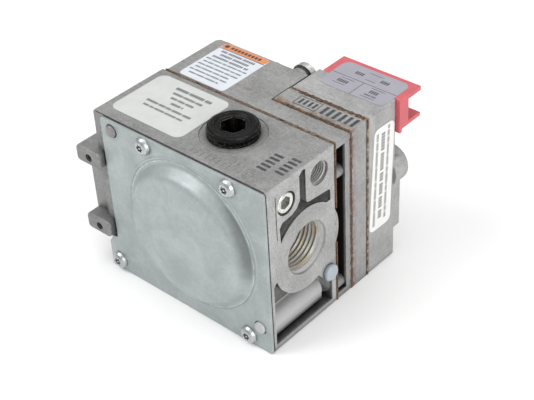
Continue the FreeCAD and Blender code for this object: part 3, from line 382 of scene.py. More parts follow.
def sheet_look(name, axis, crown, foot):
    """Zinc-plated sheet: cool, nearly even grey, with smudges, rubbed marks, a drawn round dome and
    painted shade on the outlet side of its shoulder.

    Axis is the dome's axis along y. Crown and foot are the radii where its shoulder starts and ends.
    """
    look = Look(name, Metallic=0.45)
    smudge = look.noise(0.085, 4, 0.62, distortion=0.6)
    mottled = look.noise(0.6, 3, 0.6)
    fine = look.noise(2.0, 3, 0.6)
    share = look.weighted((smudge, 0.5), (mottled, 0.25), (fine, 0.25))
    colour = look.blend(look.steps(share, 0.36, 0.66), (0.315, 0.350, 0.350), (0.400, 0.440, 0.440))
    rub = look.noise(0.5, 4, 0.7, look.stretched((0.25, 1.0, 2.6)))
    rub = look.both(look.steps(rub, 0.60, 0.72), look.steps(look.noise(0.05, 2), 0.45, 0.6))
    colour = look.lay(colour, (0.55, 0.57, 0.56), rub, 0.35)

    away = look.radius("Y", axis)
    shoulder = look.both(look.steps(away, crown - 1.0, foot - 0.4),
                         look.steps(away, foot + 1.0, foot - 0.2))
    # Painted shade darkens the dome's shoulder on its upper outlet side.
    shaded_side = look.both(look.steps(look.along("X"), axis[0] + 12, axis[0] + 27),
                            look.steps(look.along("Z"), axis[2] - 18, axis[2] + 8))
    colour = look.dim_where(colour, look.both(shoulder, shaded_side), 0.44)
    off = look.math("ABSOLUTE", look.math("SUBTRACT", away, foot + 0.9))
    line = look.both(look.steps(off, 0.32, 0.08), look.steps(look.noise(0.25, 3, 0.6), 0.38, 0.56))
    colour = look.lay(colour, (0.66, 0.68, 0.67), line, 0.7)
    colour = look.lay(colour, (0.62, 0.64, 0.64), look.edges(0.3), 0.35)
    roughness = look.steps(smudge, 0.3, 0.7, 0.50, 0.42)
    return look.finish(colour, roughness,
                       look.relief(look.math("ADD", fine, smudge), 0.02, 0.4, 0.25))


def gasket_look(name, tone, dark, pale=(0.42, 0.27, 0.16)):
    """Compressed fibre seen edge-on: crumbly, with pale torn specks and dark oiled patches."""
    look = Look(name)
    crumb = look.noise(1.3, 4, 0.8)
    patch = look.noise(0.45, 4, 0.75)
    speck = look.noise(2.6, 3, 0.7)
    colour = look.blend(look.steps(crumb, 0.42, 0.58), scaled(tone, 0.35), tone)
    colour = look.blend(look.steps(patch, 0.47, 0.57), colour, dark)
    colour = look.blend(look.steps(speck, 0.60, 0.68, 0.0, 0.75), colour, pale)
    return look.finish(colour, look.steps(patch, 0.4, 0.6, 0.92, 0.7), look.relief(crumb, 0.25))


def plated_look(name, tone, rough):
    """Bright plating: slightly uneven gloss and hairline scratches."""
    look = Look(name, Metallic=1.0)
    uneven = look.noise(0.9, 4, 0.6)
    scratch = look.noise(2.2, 4, 0.7, look.stretched((4.0, 0.4, 1.0), 0.6))
    colour = look.blend(look.steps(uneven, 0.3, 0.7), scaled(tone, 0.82), tone)
    colour = look.blend(look.steps(scratch, 0.62, 0.74, 0.0, 0.35), colour, scaled(tone, 0.55))
    roughness = look.steps(look.math("ADD", uneven, scratch), 0.7, 1.3, rough, rough + 0.16)
    return look.finish(colour, roughness, look.relief(scratch, 0.01, 0.6, 0.12))


def black_look(name, centre):
    """Black-oxide steel, turned about Z: dark rings with painted sheen between them, bright edges of
    wear and painted highlight, and a little rust.
    """
    look = Look(name, Specular_IOR_Level=0.15, Anisotropic=0.6)
    tangent = look.nodes.new("ShaderNodeTangent")
    tangent.direction_type = "RADIAL"
    tangent.axis = "Z"
    look.links.new(tangent.outputs[0], look.shader.inputs["Tangent"])
    away = look.radius("Z", centre)
    # Turning rings, lighter between the dark ones as painted sheen.
    turned = look.steps(look.math("SINE", look.math("MULTIPLY", away, 5.2)), -0.6, 0.9)
    fine = look.noise(1.6, 4, 0.7)
    colour = look.blend(look.both(turned, fine), (0.001, 0.001, 0.001), (0.012, 0.012, 0.012))
    colour = look.lay(colour, (0.05, 0.026, 0.014),
                      look.steps(look.noise(0.5, 4, 0.7), 0.55, 0.68), 0.3)
    # Bright edges: wear and painted highlight on the ridges.
    wear_and_glint = look.both(look.edges(0.3), look.steps(look.noise(0.7, 3), 0.40, 0.60))
    colour = look.lay(colour, (0.30, 0.29, 0.28), wear_and_glint, 0.75)
    return look.finish(colour, look.steps(fine, 0.3, 0.7, 0.16, 0.32),
                       look.relief(look.math("ADD", fine, turned), 0.10, 1.0, 0.2))


def machined_look(name, tone, rough):
    """Metal turned about Y: fine rings along the axis."""
    look = Look(name, Metallic=1.0)
    rings = look.noise(1.0, 4, 0.7, look.stretched((0.3, 6.0, 0.3)))
    uneven = look.noise(0.5, 3)
    colour = look.blend(look.steps(rings, 0.3, 0.7), scaled(tone, 0.72), tone)
    roughness = look.steps(uneven, 0.3, 0.7, rough, rough + 0.15)
    return look.finish(colour, roughness, look.relief(rings, 0.02, 0.7, 0.1))


def moulded_look(name, tone, rough, grain_depth=0.02, variation=0.86, **sockets):
    """Moulded plastic or rubber: fine spark-eroded grain, flow marks and rubbed edges."""
    look = Look(name, **sockets)
    grain = look.cells(3.4)
    flow = look.noise(0.12, 4, 0.6, distortion=0.8)
    dust = look.noise(1.7, 5, 0.75)
    colour = look.blend(look.steps(flow, 0.3, 0.7), scaled(tone, variation), tone)
    pale = tuple(min(1.0, c * 0.7 + 0.16) for c in tone)
    colour = look.blend(look.steps(dust, 0.60, 0.80, 0.0, 0.16), colour, pale)
    colour = look.lay(colour, pale, look.edges(0.3), 0.22)
    roughness = look.steps(look.math("ADD", flow, dust), 0.7, 1.3, rough - 0.06, rough + 0.10)
    return look.finish(colour, roughness, look.relief(grain, grain_depth, 0.6, 0.25))


def paper_look(name, tone):
    """Satin label stock: slight mottling, faint smudges, a few scuffs."""
    look = Look(name)
    fibre = look.noise(2.4, 4, 0.7)
    smudge = look.noise(0.16, 3, 0.6)
    scuff = look.noise(0.8, 4, 0.75, look.stretched((0.5, 2.2, 1.0), 0.5))
    colour = look.blend(look.steps(smudge, 0.3, 0.7), scaled(tone, 0.93), tone)
    colour = look.blend(look.steps(fibre, 0.45, 0.75, 0.0, 0.2), colour, scaled(tone, 0.82))
    colour = look.blend(look.steps(scuff, 0.66, 0.74, 0.0, 0.35), colour, scaled(tone, 0.72))
    return look.finish(colour, look.steps(smudge, 0.3, 0.7, 0.38, 0.50),
                       look.relief(fibre, 0.01, 0.5, 0.1))


def ink_look(name, tone, under, coverage):
    """Ink that has missed parts of the grain below it."""
    look = Look(name)
    missed = look.noise(1.5, 5, 0.75)
    fine = look.noise(3.6, 3, 0.7)
    share = look.weighted((missed, 0.6), (fine, 0.4))
    colour = look.blend(look.steps(share, coverage, coverage + 0.12), tone, under)
    return look.finish(colour, 0.5, look.relief(fine, 0.02, 0.6))


def wire_look(name):
    """Drawn spring wire: fine draw lines, a little oil."""
    look = Look(name, Metallic=1.0)
    line = look.noise(3.5, 4, 0.7)
    oil = look.noise(0.5, 3, 0.6)
    colour = look.blend(look.steps(line, 0.3, 0.7), (0.30, 0.30, 0.30), (0.58, 0.58, 0.57))
    colour = look.blend(look.steps(oil, 0.55, 0.75, 0.0, 0.4), colour, (0.24, 0.19, 0.12))
    return look.finish(colour, look.steps(oil, 0.3, 0.7, 0.26, 0.42), look.relief(line, 0.01, 0.5))


def winding_look(name):
    """Enamelled copper wire wound in even turns."""
    look = Look(name, Metallic=0.8)
    turns = look.waves(2.4, "Y", 0.4)
    tint = look.noise(0.8, 3)
    colour = look.blend(turns, (0.16, 0.05, 0.02), (0.62, 0.27, 0.10))
    colour = look.blend(look.steps(tint, 0.5, 0.7, 0.0, 0.3), colour, (0.25, 0.09, 0.03))
    return look.finish(colour, 0.34, look.relief(turns, 0.12))


def mesh_look(name):
    """Woven wire strainer: a small square weave on a plated disc."""
    look = Look(name, Metallic=0.9)
    weave = look.math("MAXIMUM", look.waves(1.5, "Y"), look.waves(1.5, "Z"))
    soil = look.noise(0.7, 4, 0.7)
    colour = look.blend(look.steps(weave, 0.4, 0.9), (0.03, 0.03, 0.03), (0.55, 0.55, 0.52))
    colour = look.blend(look.steps(soil, 0.5, 0.7, 0.0, 0.4), colour, (0.16, 0.12, 0.08))
    return look.finish(colour, 0.42, look.relief(weave, 0.15))


def fabric_look(name):
    """Coated diaphragm fabric: a fine weave under nitrile."""
    look = Look(name)
    weave = look.both(look.waves(1.1, "X"), look.waves(1.1, "Z"))
    cloud = look.noise(0.2, 4, 0.6)
    colour = look.blend(look.steps(cloud, 0.3, 0.7), (0.018, 0.018, 0.018), (0.045, 0.043, 0.04))
    return look.finish(colour, look.steps(cloud, 0.3, 0.7, 0.55, 0.7), look.relief(weave, 0.05, 0.8))


def thread_look(name, tone, sealed=0.0):
    """Metal freshly cut or left raised in the casting. Sealed is how much paste stays on it."""
    look = Look(name, Metallic=0.4)
    chatter = look.noise(1.4, 4, 0.7)
    colour = look.blend(look.steps(chatter, 0.3, 0.7), scaled(tone, 0.7), tone)
    if sealed:
        left = look.noise(0.16, 4, 0.65, look.stretched((3.0, 1.0, 1.0)))
        paste = look.blend(look.noise(1.1, 3), (0.24, 0.18, 0.08), (0.44, 0.36, 0.20))
        colour = look.lay(colour, paste, look.steps(left, 0.42, 0.60), sealed)
    return look.finish(colour, look.steps(chatter, 0.3, 0.7, 0.40, 0.55),
                       look.relief(chatter, 0.03, 0.6))


def make_materials():
    """Every material by name: its kind of look, then what sets it apart from the others."""
    recipes = {
        "body_casting": (casting_look, grey(0.255), ((16.9, 1.4),), 1.0, 0.55, 0.10, body_details),
        "control_casting": (casting_look, grey(0.28), ((17.4, 0.8), (25.8, 1.2)), 1.0, 0.45, 0.10,
                            channel_details),
        "plate_casting": (casting_look, grey(0.325), ((27.0, 3.8), (36.4, 1.6)), 0.8, 0.80, 0.3),
        "cover_casting": (casting_look, grey(0.36), ((37.2, 1.4),), 0.55, 0.5, 0.5),
        "zinc_sheet": (sheet_look, DOME_AXIS, 27.0, 31.2),
        "gasket_dark": (gasket_look, (0.24, 0.13, 0.07), (0.055, 0.035, 0.025)),
        "gasket_rust": (gasket_look, (0.30, 0.15, 0.07), (0.07, 0.038, 0.022)),
        "gasket_fringe": (gasket_look, (0.22, 0.16, 0.125), (0.085, 0.06, 0.045)),
        "gasket_crust": (gasket_look, (0.16, 0.095, 0.055), (0.035, 0.02, 0.013)),
        "gasket_dust": (gasket_look, (0.42, 0.38, 0.32), (0.20, 0.165, 0.13), (0.52, 0.49, 0.44)),
        # Near-black strips: painted shadow of the cover joint and of a slit.
        "joint_soil": (gasket_look, (0.05, 0.045, 0.04), (0.02, 0.018, 0.016), (0.16, 0.15, 0.14)),
        "zinc_screw": (plated_look, (0.52, 0.54, 0.54), 0.3),
        "plated_plug": (plated_look, (0.76, 0.76, 0.73), 0.24),
        "black_oxide": (black_look, PLUG_AXIS),
        "black_thread": (black_look, PLUG_AXIS),
        "plate_metal": (machined_look, (0.62, 0.62, 0.61), 0.35),
        "turned_steel": (machined_look, (0.56, 0.56, 0.56), 0.28),
        "can_brass": (machined_look, (0.70, 0.50, 0.22), 0.26),
        "brass_screw": (machined_look, (0.72, 0.55, 0.28), 0.26),
        "valve_rubber": (moulded_look, (0.022, 0.022, 0.022), 0.62, 0.015, 0.7),
        "knob_plastic": (moulded_look, (0.035, 0.035, 0.038), 0.45, 0.03, 0.75),
        "seat_plastic": (moulded_look, (0.72, 0.69, 0.60), 0.45),
        "diaphragm_fabric": (fabric_look,),
        "screen_weave": (mesh_look,),
        "spring_wire": (wire_look,),
        "coil_winding": (winding_look,),
        "label_grey": (paper_look, (0.55, 0.56, 0.545)),
        "label_violet": (paper_look, (0.325, 0.32, 0.365)),
        "label_white": (paper_look, (0.63, 0.665, 0.71)),
        "label_cream": (paper_look, (0.80, 0.80, 0.775)),
        "outlet_thread": (thread_look, (0.50, 0.50, 0.48), 0.7),
        "raised_metal": (thread_look, (0.31, 0.31, 0.305)),
        "clean_thread": (thread_look, (0.50, 0.50, 0.49)),
        # Nearly black: painted shade inside the small ear holes.
        "ear_thread": (thread_look, (0.07, 0.07, 0.065)),
        "stamp_ink": (ink_look, (0.028, 0.032, 0.036), (0.15, 0.15, 0.15), 0.50),
        "faint_ink": (ink_look, (0.16, 0.16, 0.17), (0.50, 0.50, 0.49), 0.54),
        "print_ink": (ink_look, (0.07, 0.07, 0.085), (0.26, 0.26, 0.28), 0.58),
        "orange_ink": (ink_look, (0.60, 0.235, 0.10), (0.66, 0.36, 0.22), 0.60),
        "dark_line": (ink_look, (0.07, 0.03, 0.03), (0.22, 0.12, 0.10), 0.60),
        "knob_mark": (ink_look, (0.70, 0.70, 0.68), (0.35, 0.35, 0.34), 0.60),
    }
    made = {name: recipe[0](name, *recipe[1:]) for name, recipe in recipes.items()}
    made["white_plastic"] = moulded_look("white_plastic", (0.42, 0.47, 0.525), 0.35, 0.01, 0.9,
                                         Transmission_Weight=0.15)
    made["red_plastic"] = moulded_look("red_plastic", (0.585, 0.108, 0.124), 0.42, 0.02, 0.86,
                                       Subsurface_Weight=0.06, Subsurface_Scale=0.002)
    return made


NODES_BY_MATERIAL = {
    "body_casting": ("main_body",),
    "control_casting": ("control_body",),
    "plate_casting": ("operator_plate",),
    "cover_casting": ("operator_cover",),
    "zinc_sheet": ("diaphragm_cover",),
    "gasket_dark": ("body_gasket", "cover_gasket"),
    "gasket_rust": ("operator_gasket",),
    "diaphragm_fabric": ("main_diaphragm",),
    "zinc_screw": ("cover_screws", "body_screws", "operator_screws", "cap_screws", "terminal_screws"),
    "plated_plug": ("regulator_cap", "pressure_tap_plug"),
    "black_oxide": ("side_outlet_plug",),
    "white_plastic": ("vent_plug",),
    "screen_weave": ("inlet_screen",),
    "plate_metal": ("diaphragm_plate", "main_valve_retainer", "gas_cock_cap", "gas_cock_rotor"),
    "turned_steel": ("main_valve_stem", "knob_stem", "armature_pin", "safety_armature",
                     "operator_core", "operator_armature"),
    "valve_rubber": ("main_valve_disc", "safety_valve_disc", "servo_valve", "regulator_valve",
                     "regulator_cap_seal"),
    "spring_wire": ("main_valve_spring", "gas_cock_spring", "knob_spring", "safety_valve_spring",
                    "regulator_spring", "operator_spring"),
    "knob_plastic": ("control_knob",),
    "can_brass": ("power_unit",),
    "brass_screw": ("regulator_adjuster", "pilot_adjuster", "terminal_plates"),
    "seat_plastic": ("regulator_spring_seat",),
    "coil_winding": ("operator_coil",),
    "red_plastic": ("terminal_block",),
    "label_grey": ("rating_label",),
    "label_violet": ("terminal_label",),
    "label_white": ("caution_label",),
    "label_cream": ("side_label",),
}


def shade_by_angle(obj, degrees):
    """Round faces are shaded smoothly and corners stay crisp."""
    obj.data.polygons.foreach_set("use_smooth", [True] * len(obj.data.polygons))
    obj.data.set_sharp_from_angle(angle=math.radians(degrees))


def dress_nodes():
    """Gives each CAD node its material."""
    material_of = {node: name for name, nodes in NODES_BY_MATERIAL.items() for node in nodes}
    for node, obj in frame["nodes"].items():
        material = MATERIALS[material_of[node]]
        if not obj.material_slots:
            obj.data.materials.append(material)
        for material_slot in obj.material_slots:
            material_slot.material = material
        shade_by_angle(obj, 28)


# ---------------------------------------------------------------- pieces

def make_piece(name, points, faces, look, slot, body=HOUSING, smooth=None):
    """A mesh from points in millimetres in the row frame."""
    mesh = bpy.data.meshes.new(name)
    mesh.from_pydata([tuple(c * MM for c in p) for p in points], [], faces)
    mesh.validate()
    mesh.update()
    obj = bpy.data.objects.new(name, mesh)
    bpy.context.scene.collection.objects.link(obj)
    mesh.materials.append(MATERIALS[look])
    if smooth is not None:
        shade_by_angle(obj, smooth)
    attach(obj, body)
    return obj


TURN_FRAMES = {
    "X": ((1, 0, 0), (0, 1, 0), (0, 0, 1)),
    "Y": ((0, 1, 0), (0, 0, 1), (1, 0, 0)),
    "Z": ((0, 0, 1), (1, 0, 0), (0, 1, 0)),
}
STEPS_PER_TURN = 48


def helix_points(axis, centre, outline, pitch, start, length):
    """A thread ridge: outline (radius, along) swept along a helix, tapering away at both ends."""
    forward, first, second = (Vector(v) for v in TURN_FRAMES[axis])
    middle = Vector(centre)
    count = int(STEPS_PER_TURN * length / pitch)
    wall = outline[0][0]
    points = []
    for i in range(count + 1):
        turn = i / STEPS_PER_TURN
        angle = 2 * math.pi * turn
        out = first * math.cos(angle) + second * math.sin(angle)
        ends = max(0.02, min(1.0, 2.0 * turn, 2.0 * (count / STEPS_PER_TURN - turn)))
        for radius, along in outline:
            reach = wall + (radius - wall) * ends
            points.append(middle + out * reach + forward * (start + turn * pitch + along * ends))
    return points, count


def make_thread(name, axis, centre, wall, crest, pitch, start, length, look, slot):
    """A helical ridge from the wall radius to the crest radius, from start along the axis."""
    outline = [(wall, -0.46 * pitch), (crest, -0.09 * pitch),
               (crest, 0.09 * pitch), (wall, 0.46 * pitch)]
    points, count = helix_points(axis, centre, outline, pitch, start, length)
    k = len(outline)
    faces = [(i * k + j, i * k + (j + 1) % k, (i + 1) * k + (j + 1) % k, (i + 1) * k + j)
             for i in range(count) for j in range(k)]
    faces.append(tuple(range(k)))
    faces.append(tuple(reversed(range(count * k, (count + 1) * k))))
    return make_piece(name, points, faces, look, slot, smooth=40)


def make_threads():
    """Threads of the ports, the side plug and the bracket ears."""
    pipe_wall, pipe_crest, pipe_pitch = 10.72, 10.1, 1.814
    make_thread("outlet_thread", "X", OUTLET_AXIS, pipe_wall, pipe_crest, pipe_pitch, -15.2, 12.6,
                "outlet_thread", "cast_body")
    make_thread("inlet_thread", "X", OUTLET_AXIS, pipe_wall, pipe_crest, pipe_pitch, -95.6, 11.0,
                "clean_thread", "cast_body")
    make_thread("pilot_thread", "X", PILOT_AXIS, 5.03, 4.45, 0.94, -9.2, 8.4,
                "clean_thread", "cast_body")
    make_thread("plug_thread", "Z", PLUG_AXIS, 9.15, 9.8, 1.0, 37.3, 1.9,
                "black_thread", "black_oxide")
    for name, up in (("upper_ear_thread", 17.1), ("lower_ear_thread", -17.1)):
        make_thread(name, "Y", (-90.4, 0, up), 1.77, 1.45, 0.8, -25.6, 7.6,
                    "ear_thread", "cast_body")


def rounded_bar(u0, u1, v0, v1, radius, corners=4):
    """Outline of a bar with round corners."""
    radius = min(radius, (u1 - u0) / 2, (v1 - v0) / 2) * 0.999
    spots = ((u1 - radius, v1 - radius, 0), (u0 + radius, v1 - radius, 90),
             (u0 + radius, v0 + radius, 180), (u1 - radius, v0 + radius, 270))
    outline = []
    for u, v, first in spots:
        for i in range(corners + 1):
            angle = math.radians(first + 90 * i / corners)
            outline.append((u + radius * math.cos(angle), v + radius * math.sin(angle)))
    return outline


def bars_between(u0, u1, v0, v1, parts, gap):
    """One wide bar cut into equal short blocks."""
    step = (u1 - u0) / parts
    return [rounded_bar(u0 + i * step, u0 + (i + 1) * step - gap, v0, v1, 0.3, 2)
            for i in range(parts)]


def tally(start, count, step, wide, low, high):
    """Equal upright bars in a row."""
    return [rounded_bar(start + i * step, start + i * step + wide, low, high, 0.35)
            for i in range(count)]


def row_marks(source, start, end, middle, height, width):
    """One row of printed matter as equal plain blocks in groups. It holds no letters."""
    wide = height * width
    bars, u = [], start
    while u + wide < end:
        for _ in range(source.randint(3, 8)):
            if u + wide < end:
                bars.append(rounded_bar(u, u + wide, middle - height / 2, middle + height / 2,
                                        wide * 0.3, 2))
            u += wide * 1.45
        u += wide * 0.9
    return bars


def on_top(level):
    """Puts marks on a face that looks up: u is x and v is y."""
    return lambda u, v, height: (u, v, level + height)


def on_end(level):
    """Puts marks on a face at the outlet end: u is y and v is z."""
    return lambda u, v, height: (level + height, u, v)


def up_end(level):
    """Puts marks that run up a face at the outlet end: u is z and v is y."""
    return lambda u, v, height: (level + height, v, u)


def on_back(level):
    """Puts marks on a face that looks along y: u is x and v is z."""
    return lambda u, v, height: (u, level + height, v)


def flat_marks(name, outlines, put, thick, look, slot, body=HOUSING):
    """Thin raised marks on a face. put turns (u, v, height) into a point."""
    points, faces = [], []
    for outline in outlines:
        k, base = len(outline), len(points)
        points += [put(u, v, 0.0) for u, v in outline] + [put(u, v, thick) for u, v in outline]
        faces.append(tuple(base + k + i for i in range(k)))
        faces += [(base + i, base + (i + 1) % k, base + k + (i + 1) % k, base + k + i)
                  for i in range(k)]
    return make_piece(name, points, faces, look, slot, body)


# ---------------------------------------------------------------- prints and stamps

INK = 0.02
UNDER_INK = 0.012
STAMP = 0.015


def high_of(node, axis):
    """How far a CAD node reaches along x, y or z, in millimetres."""
    return getattr(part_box(node)[1], axis) / MM


def print_rating_label(source, top):
    """Six centred rows."""
    rows = []
    for start, end, middle, height in (
            (-73.2, -54.4, 9.2, 1.8), (-71.8, -56.2, 5.9, 1.4), (-70.2, -58.2, 2.9, 1.4),
            (-67.2, -60.4, -0.1, 1.4), (-77.0, -53.8, -3.4, 1.4), (-76.0, -55.2, -6.4, 1.2)):
        rows += row_marks(source, start, end, middle, height, 0.42)
    flat_marks("rating_print", rows, on_top(top), INK, "print_ink", "label_grey")


def print_caution_label(source, top):
    """An orange header with a spot and a row of blocks, over nine rows of small print."""
    left, right = -81.3, -57.1
    header = [rounded_bar(left, right, 43.2, 47.1, 1.6)]
    flat_marks("caution_header", header, on_top(top), UNDER_INK, "orange_ink", "label_white")
    title = [rounded_bar(-80.2, -78.1, 44.1, 46.2, 0.9)]
    title += bars_between(-76.8, -60.2, 44.3, 46.0, 9, 0.55)
    flat_marks("caution_title", title, on_top(top + UNDER_INK), UNDER_INK,
               "dark_line", "label_white")

    rows = [rounded_bar(left, right, 42.75, 43.15, 0.1)]
    spans = ((-78.5, -60.5), (-77.0, -61.0), (-79.0, -60.0), (-80.2, -58.6), (-79.6, -59.4),
             (-80.2, -59.0), (-79.4, -61.0), (-80.2, -60.4), (-78.4, -62.6))
    large_rows = 3
    for i, (start, end) in enumerate(spans):
        height = 1.45 if i < large_rows else 1.0
        rows += row_marks(source, start, end, 41.1 - i * 2.45, height, 0.5)
    flat_marks("caution_print", rows, on_top(top), INK, "print_ink", "label_white")


def print_terminal_label(source, top):
    """Thin rules that divide the label into fields, with a few short rows in them."""
    half = 0.14
    rules = ((-32.5, -0.9, 56.4, 56.4), (-16.7, -16.7, 47.0, 56.4), (-19.0, -12.9, 63.6, 63.6),
             (-18.0, -13.3, 58.8, 58.8), (-27.8, -22.0, 50.5, 50.5), (-11.7, -5.6, 55.1, 55.1),
             (-26.4, -20.4, 54.9, 54.9), (-12.7, -6.2, 48.6, 48.6))
    marks = [rounded_bar(x0 - half, x1 + half, y0 - half, y1 + half, 0.1, 1)
             for x0, x1, y0, y1 in rules]
    for start, end, middle, height in (
            (-24.2, -19.4, 60.9, 2.1), (-12.0, -7.4, 61.1, 2.1), (-26.8, -21.4, 52.6, 2.1),
            (-11.2, -6.6, 52.8, 2.1), (-12.0, -6.4, 50.2, 0.9)):
        marks += row_marks(source, start, end, middle, height, 0.34)
    flat_marks("terminal_print", marks, on_top(top), INK, "print_ink", "label_grey")


def print_side_label(source):
    """Three rows that run up the label, leaning with it."""
    lean, lean_from = 0.056, 7.0
    rows = []
    for start, end, middle, height in (
            (-14.5, 29.0, 49.0, 1.5), (-13.0, 27.2, 45.6, 2.4), (-15.4, 29.0, 41.9, 1.5)):
        upright = row_marks(source, start, end, 0.0, height, 0.4)
        rows += [[(middle + v + lean * (u - lean_from), u) for u, v in outline]
                 for outline in upright]
    flat_marks("side_print", rows, on_end(high_of("side_label", "x")), INK,
               "faint_ink", "label_white")


def make_label_prints():
    """Generic printing on the four labels: rows of plain blocks and a few rules."""
    source = random.Random(11)
    top = high_of("rating_label", "z")
    print_rating_label(source, top)
    print_caution_label(source, top)
    print_terminal_label(source, top)
    print_side_label(source)


def make_ink_stamps():
    """Worn inspection stamps as plain upright bars: two rows on the body and one on the plate."""
    rows = tally(-11.6, 5, 2.4, 1.3, -13.2, -8.8) + tally(-9.8, 5, 2.4, 1.3, -6.2, -2.0)
    across = [[(v, u) for u, v in outline] for outline in rows]
    flat_marks("body_stamp", across, on_top(high_of("main_body", "z")), STAMP,
               "stamp_ink", "cast_body")

    left, right, low, high, line = -30.6, -19.6, 28.9, 35.0, 0.4
    frame_bars = [rounded_bar(left, right, high - line, high, 0.2),
                  rounded_bar(left, right, low, low + line, 0.2),
                  rounded_bar(left, left + line, low, high, 0.2),
                  rounded_bar(right - line, right, low, high, 0.2)]
    bars = tally(-28.9, 4, 2.25, 1.2, 30.2, 33.8) + tally(-17.6, 6, 2.9, 1.5, 29.3, 34.7)
    flat_marks("plate_stamp", frame_bars + bars, on_top(high_of("operator_plate", "z")), STAMP,
               "stamp_ink", "cast_body")


def make_cast_relief():
    """Low raised dashes cast into the body's top, along the cover side of the plug."""
    sunk, height = 0.01, 0.14
    dashes = tally(-40.0, 12, 2.6, 0.7, -18.6, -15.6) + tally(-22.0, 4, 2.4, 0.7, -14.4, -12.4)
    flat_marks("cast_relief", dashes, on_top(high_of("main_body", "z") - sunk), height,
               "raised_metal", "cast_body")


def make_knob_mark():
    """White infill on the knob's pointer."""
    half = 0.45
    bar = [rounded_bar(KNOB_X - half, KNOB_X + half, 2.0, 9.8, 0.4)]
    flat_marks("knob_mark", bar, on_back(high_of("control_knob", "y")), 0.03,
               "knob_mark", "knob_plastic", "knob")


# ---------------------------------------------------------------- gasket edges and painted shadow lines

def ragged_strips(source, start, end, middle, half, gap_share):
    """Outlines of a torn strip along u, with gaps in it."""
    outlines, low, high, u = [], [], [], start
    while u < end:
        if source.random() < gap_share and len(low) > 2:
            outlines.append(low + high[::-1])
            low, high = [], []
            u += source.uniform(0.8, 2.2)
        low.append((u, middle - half * source.uniform(0.35, 1.0)))
        high.append((u, middle + half * source.uniform(0.35, 1.0)))
        u += source.uniform(0.35, 0.8)
    if len(low) > 2:
        outlines.append(low + high[::-1])
    return outlines


def make_fringes():
    """Gasket material that stands in the joints, and painted shadow lines along the cover joint and a
    slit, on the top faces and the outlet end.
    """
    source = random.Random(23)
    top = min(high_of(node, "z") for node in ("main_body", "control_body"))
    end = min(high_of(node, "x") for node in ("operator_plate", "operator_cover"))
    cover_joint = high_of("diaphragm_cover", "y") + 0.55
    fibre, soil = "gasket_fibre", "cast_body"
    for name, put, runs, look, slot in (
            # a run is its start, end, middle, half width and share of gaps
            ("top_fringe", on_top(top), [(-82.0, -0.6, 17.0, 0.75, 0.10)], "gasket_fringe", fibre),
            ("top_crust", on_top(top), [(-33.0, -0.6, 26.35, 1.0, 0.02),
                                        (-33.0, -0.6, 36.6, 1.25, 0.05)], "gasket_crust", fibre),
            # Painted shadow: the cover joint on the top and on the end, and a slit on the end.
            ("top_soil", on_top(top), [(-87.5, -0.3, cover_joint, 0.17, 0.0)], "joint_soil", soil),
            ("end_soil", up_end(end), [(-37.6, 37.6, cover_joint, 0.2, 0.0)], "joint_soil", soil),
            ("end_score", up_end(end), [(14.0, 34.0, -16.6, 0.09, 0.0)], "joint_soil", soil),
            ("end_crust", up_end(end), [(-36.0, 36.0, 26.5, 0.85, 0.03)], "gasket_crust", fibre),
            ("end_dust", up_end(end), [(-36.0, 36.0, 37.0, 0.75, 0.12)], "gasket_dust", fibre)):
        outlines = [strip for run in runs for strip in ragged_strips(source, *run)]
        flat_marks(name, outlines, put, 0.16, look, slot)


# ---------------------------------------------------------------- springs

def make_coils():
    """Copies of the CAD springs that the record lists as deforming stand in for them on the housing;
    the CAD springs are hidden.
    """
    for joint in frame["record"]["behaviour"]["joints"]:
        for entry in joint.get("deforming_nodes", ()):
            spring = entry["node"]
            if not spring.endswith("spring"):
                continue
            low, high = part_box(spring)
            coil = bpy.data.objects.new(spring + "_coil", frame["nodes"][spring].data.copy())
            bpy.context.scene.collection.objects.link(coil)
            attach(coil, HOUSING)
            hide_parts(spring)
            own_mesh(coil)


# ---------------------------------------------------------------- floor, light and camera

def make_floor():
    """A wide pale floor under the object."""
    look = Look("studio_floor")
    soft = look.noise(0.004, 3, 0.5)
    look.finish(look.blend(soft, (0.90, 0.90, 0.90), (0.94, 0.94, 0.94)), 0.9)
    reach, level = 3, cad_low.z
    points = [(-reach, -reach, level), (reach, -reach, level),
              (reach, reach, level), (-reach, reach, level)]
    mesh = bpy.data.meshes.new("floor")
    mesh.from_pydata(points, [], [(0, 1, 2, 3)])
    floor = bpy.data.objects.new("floor", mesh)
    mesh.materials.append(look.material)
    bpy.context.scene.collection.objects.link(floor)


def make_world():
    """Even studio light, brighter overhead than at the sides."""
    world = bpy.data.worlds.new("studio")
    bpy.context.scene.world = world
    world.use_nodes = True
    nodes, links = world.node_tree.nodes, world.node_tree.links
    coordinates = nodes.new("ShaderNodeTexCoord")
    split = nodes.new("ShaderNodeSeparateXYZ")
    ramp = nodes.new("ShaderNodeMapRange")
    ramp.interpolation_type = "SMOOTHSTEP"
    height_range, strength_range = (0.0, 0.9), (0.42, 0.72)
    for socket, value in zip(ramp.inputs[1:5], height_range + strength_range):
        socket.default_value = value
    links.new(coordinates.outputs["Generated"], split.inputs[0])
    links.new(split.outputs["Z"], ramp.inputs[0])
    links.new(ramp.outputs[0], nodes["Background"].inputs["Strength"])
    nodes["Background"].inputs["Color"].default_value = (1.0, 1.0, 1.0, 1.0)


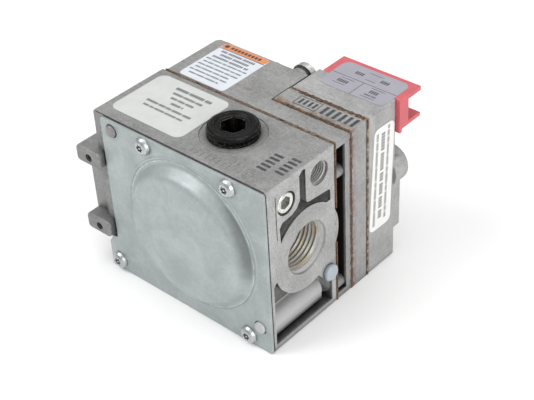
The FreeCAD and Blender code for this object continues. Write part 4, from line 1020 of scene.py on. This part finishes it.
def make_lights():
    """Three large soft lamps that face the object. Places and sizes are in metres."""
    target = Vector((-0.045, 0.02, 0.0))
    for name, place, size, watts in (("key", (-0.45, -0.45, 0.75), (0.5, 0.5), 4.2),
                                     ("fill", (0.85, -0.30, 0.40), (0.6, 0.5), 5.0),
                                     ("top", (0.05, 0.25, 0.9), (0.7, 0.7), 2.6)):
        data = bpy.data.lights.new(name, "AREA")
        data.shape = "RECTANGLE"
        data.size, data.size_y = size
        data.energy = watts
        lamp = bpy.data.objects.new(name, data)
        bpy.context.scene.collection.objects.link(lamp)
        lamp.location = place
        lamp.rotation_mode = "QUATERNION"
        lamp.rotation_quaternion = (target - Vector(place)).to_track_quat("-Z", "Y")


def make_camera():
    """A camera that looks down at the outlet end's upper front corner, slightly rolled."""
    azimuth, elevation, roll = 0.7543, 0.6479, -0.0593
    corner = Vector((0, -21.6, 38.4))
    distance, aside, above = 428.4, 0.70, -2.24
    back = Vector((math.sin(azimuth) * math.cos(elevation), -math.cos(azimuth) * math.cos(elevation),
                   math.sin(elevation)))
    right = Vector((math.cos(azimuth), math.sin(azimuth), 0))
    up = back.cross(right)
    tilted = math.cos(roll) * right + math.sin(roll) * up
    upright = math.cos(roll) * up - math.sin(roll) * right
    place = (corner + back * distance + tilted * aside + upright * above) * MM
    data = bpy.data.cameras.new("camera")
    data.sensor_width = 36.0
    data.lens = 83.19
    data.clip_start, data.clip_end = 0.01, 10.0
    camera = bpy.data.objects.new("camera", data)
    bpy.context.scene.collection.objects.link(camera)
    camera.matrix_world = Matrix((
        (tilted.x, upright.x, back.x, place.x),
        (tilted.y, upright.y, back.y, place.y),
        (tilted.z, upright.z, back.z, place.z),
        (0, 0, 0, 1)))
    bpy.context.scene.camera = camera


MATERIALS = make_materials()
make_camera()
dress_nodes()
make_label_prints()
make_ink_stamps()
make_cast_relief()
make_threads()
make_fringes()
make_knob_mark()
make_coils()
make_floor()
make_world()
make_lights()
bpy.context.scene.view_settings.view_transform = "Standard"
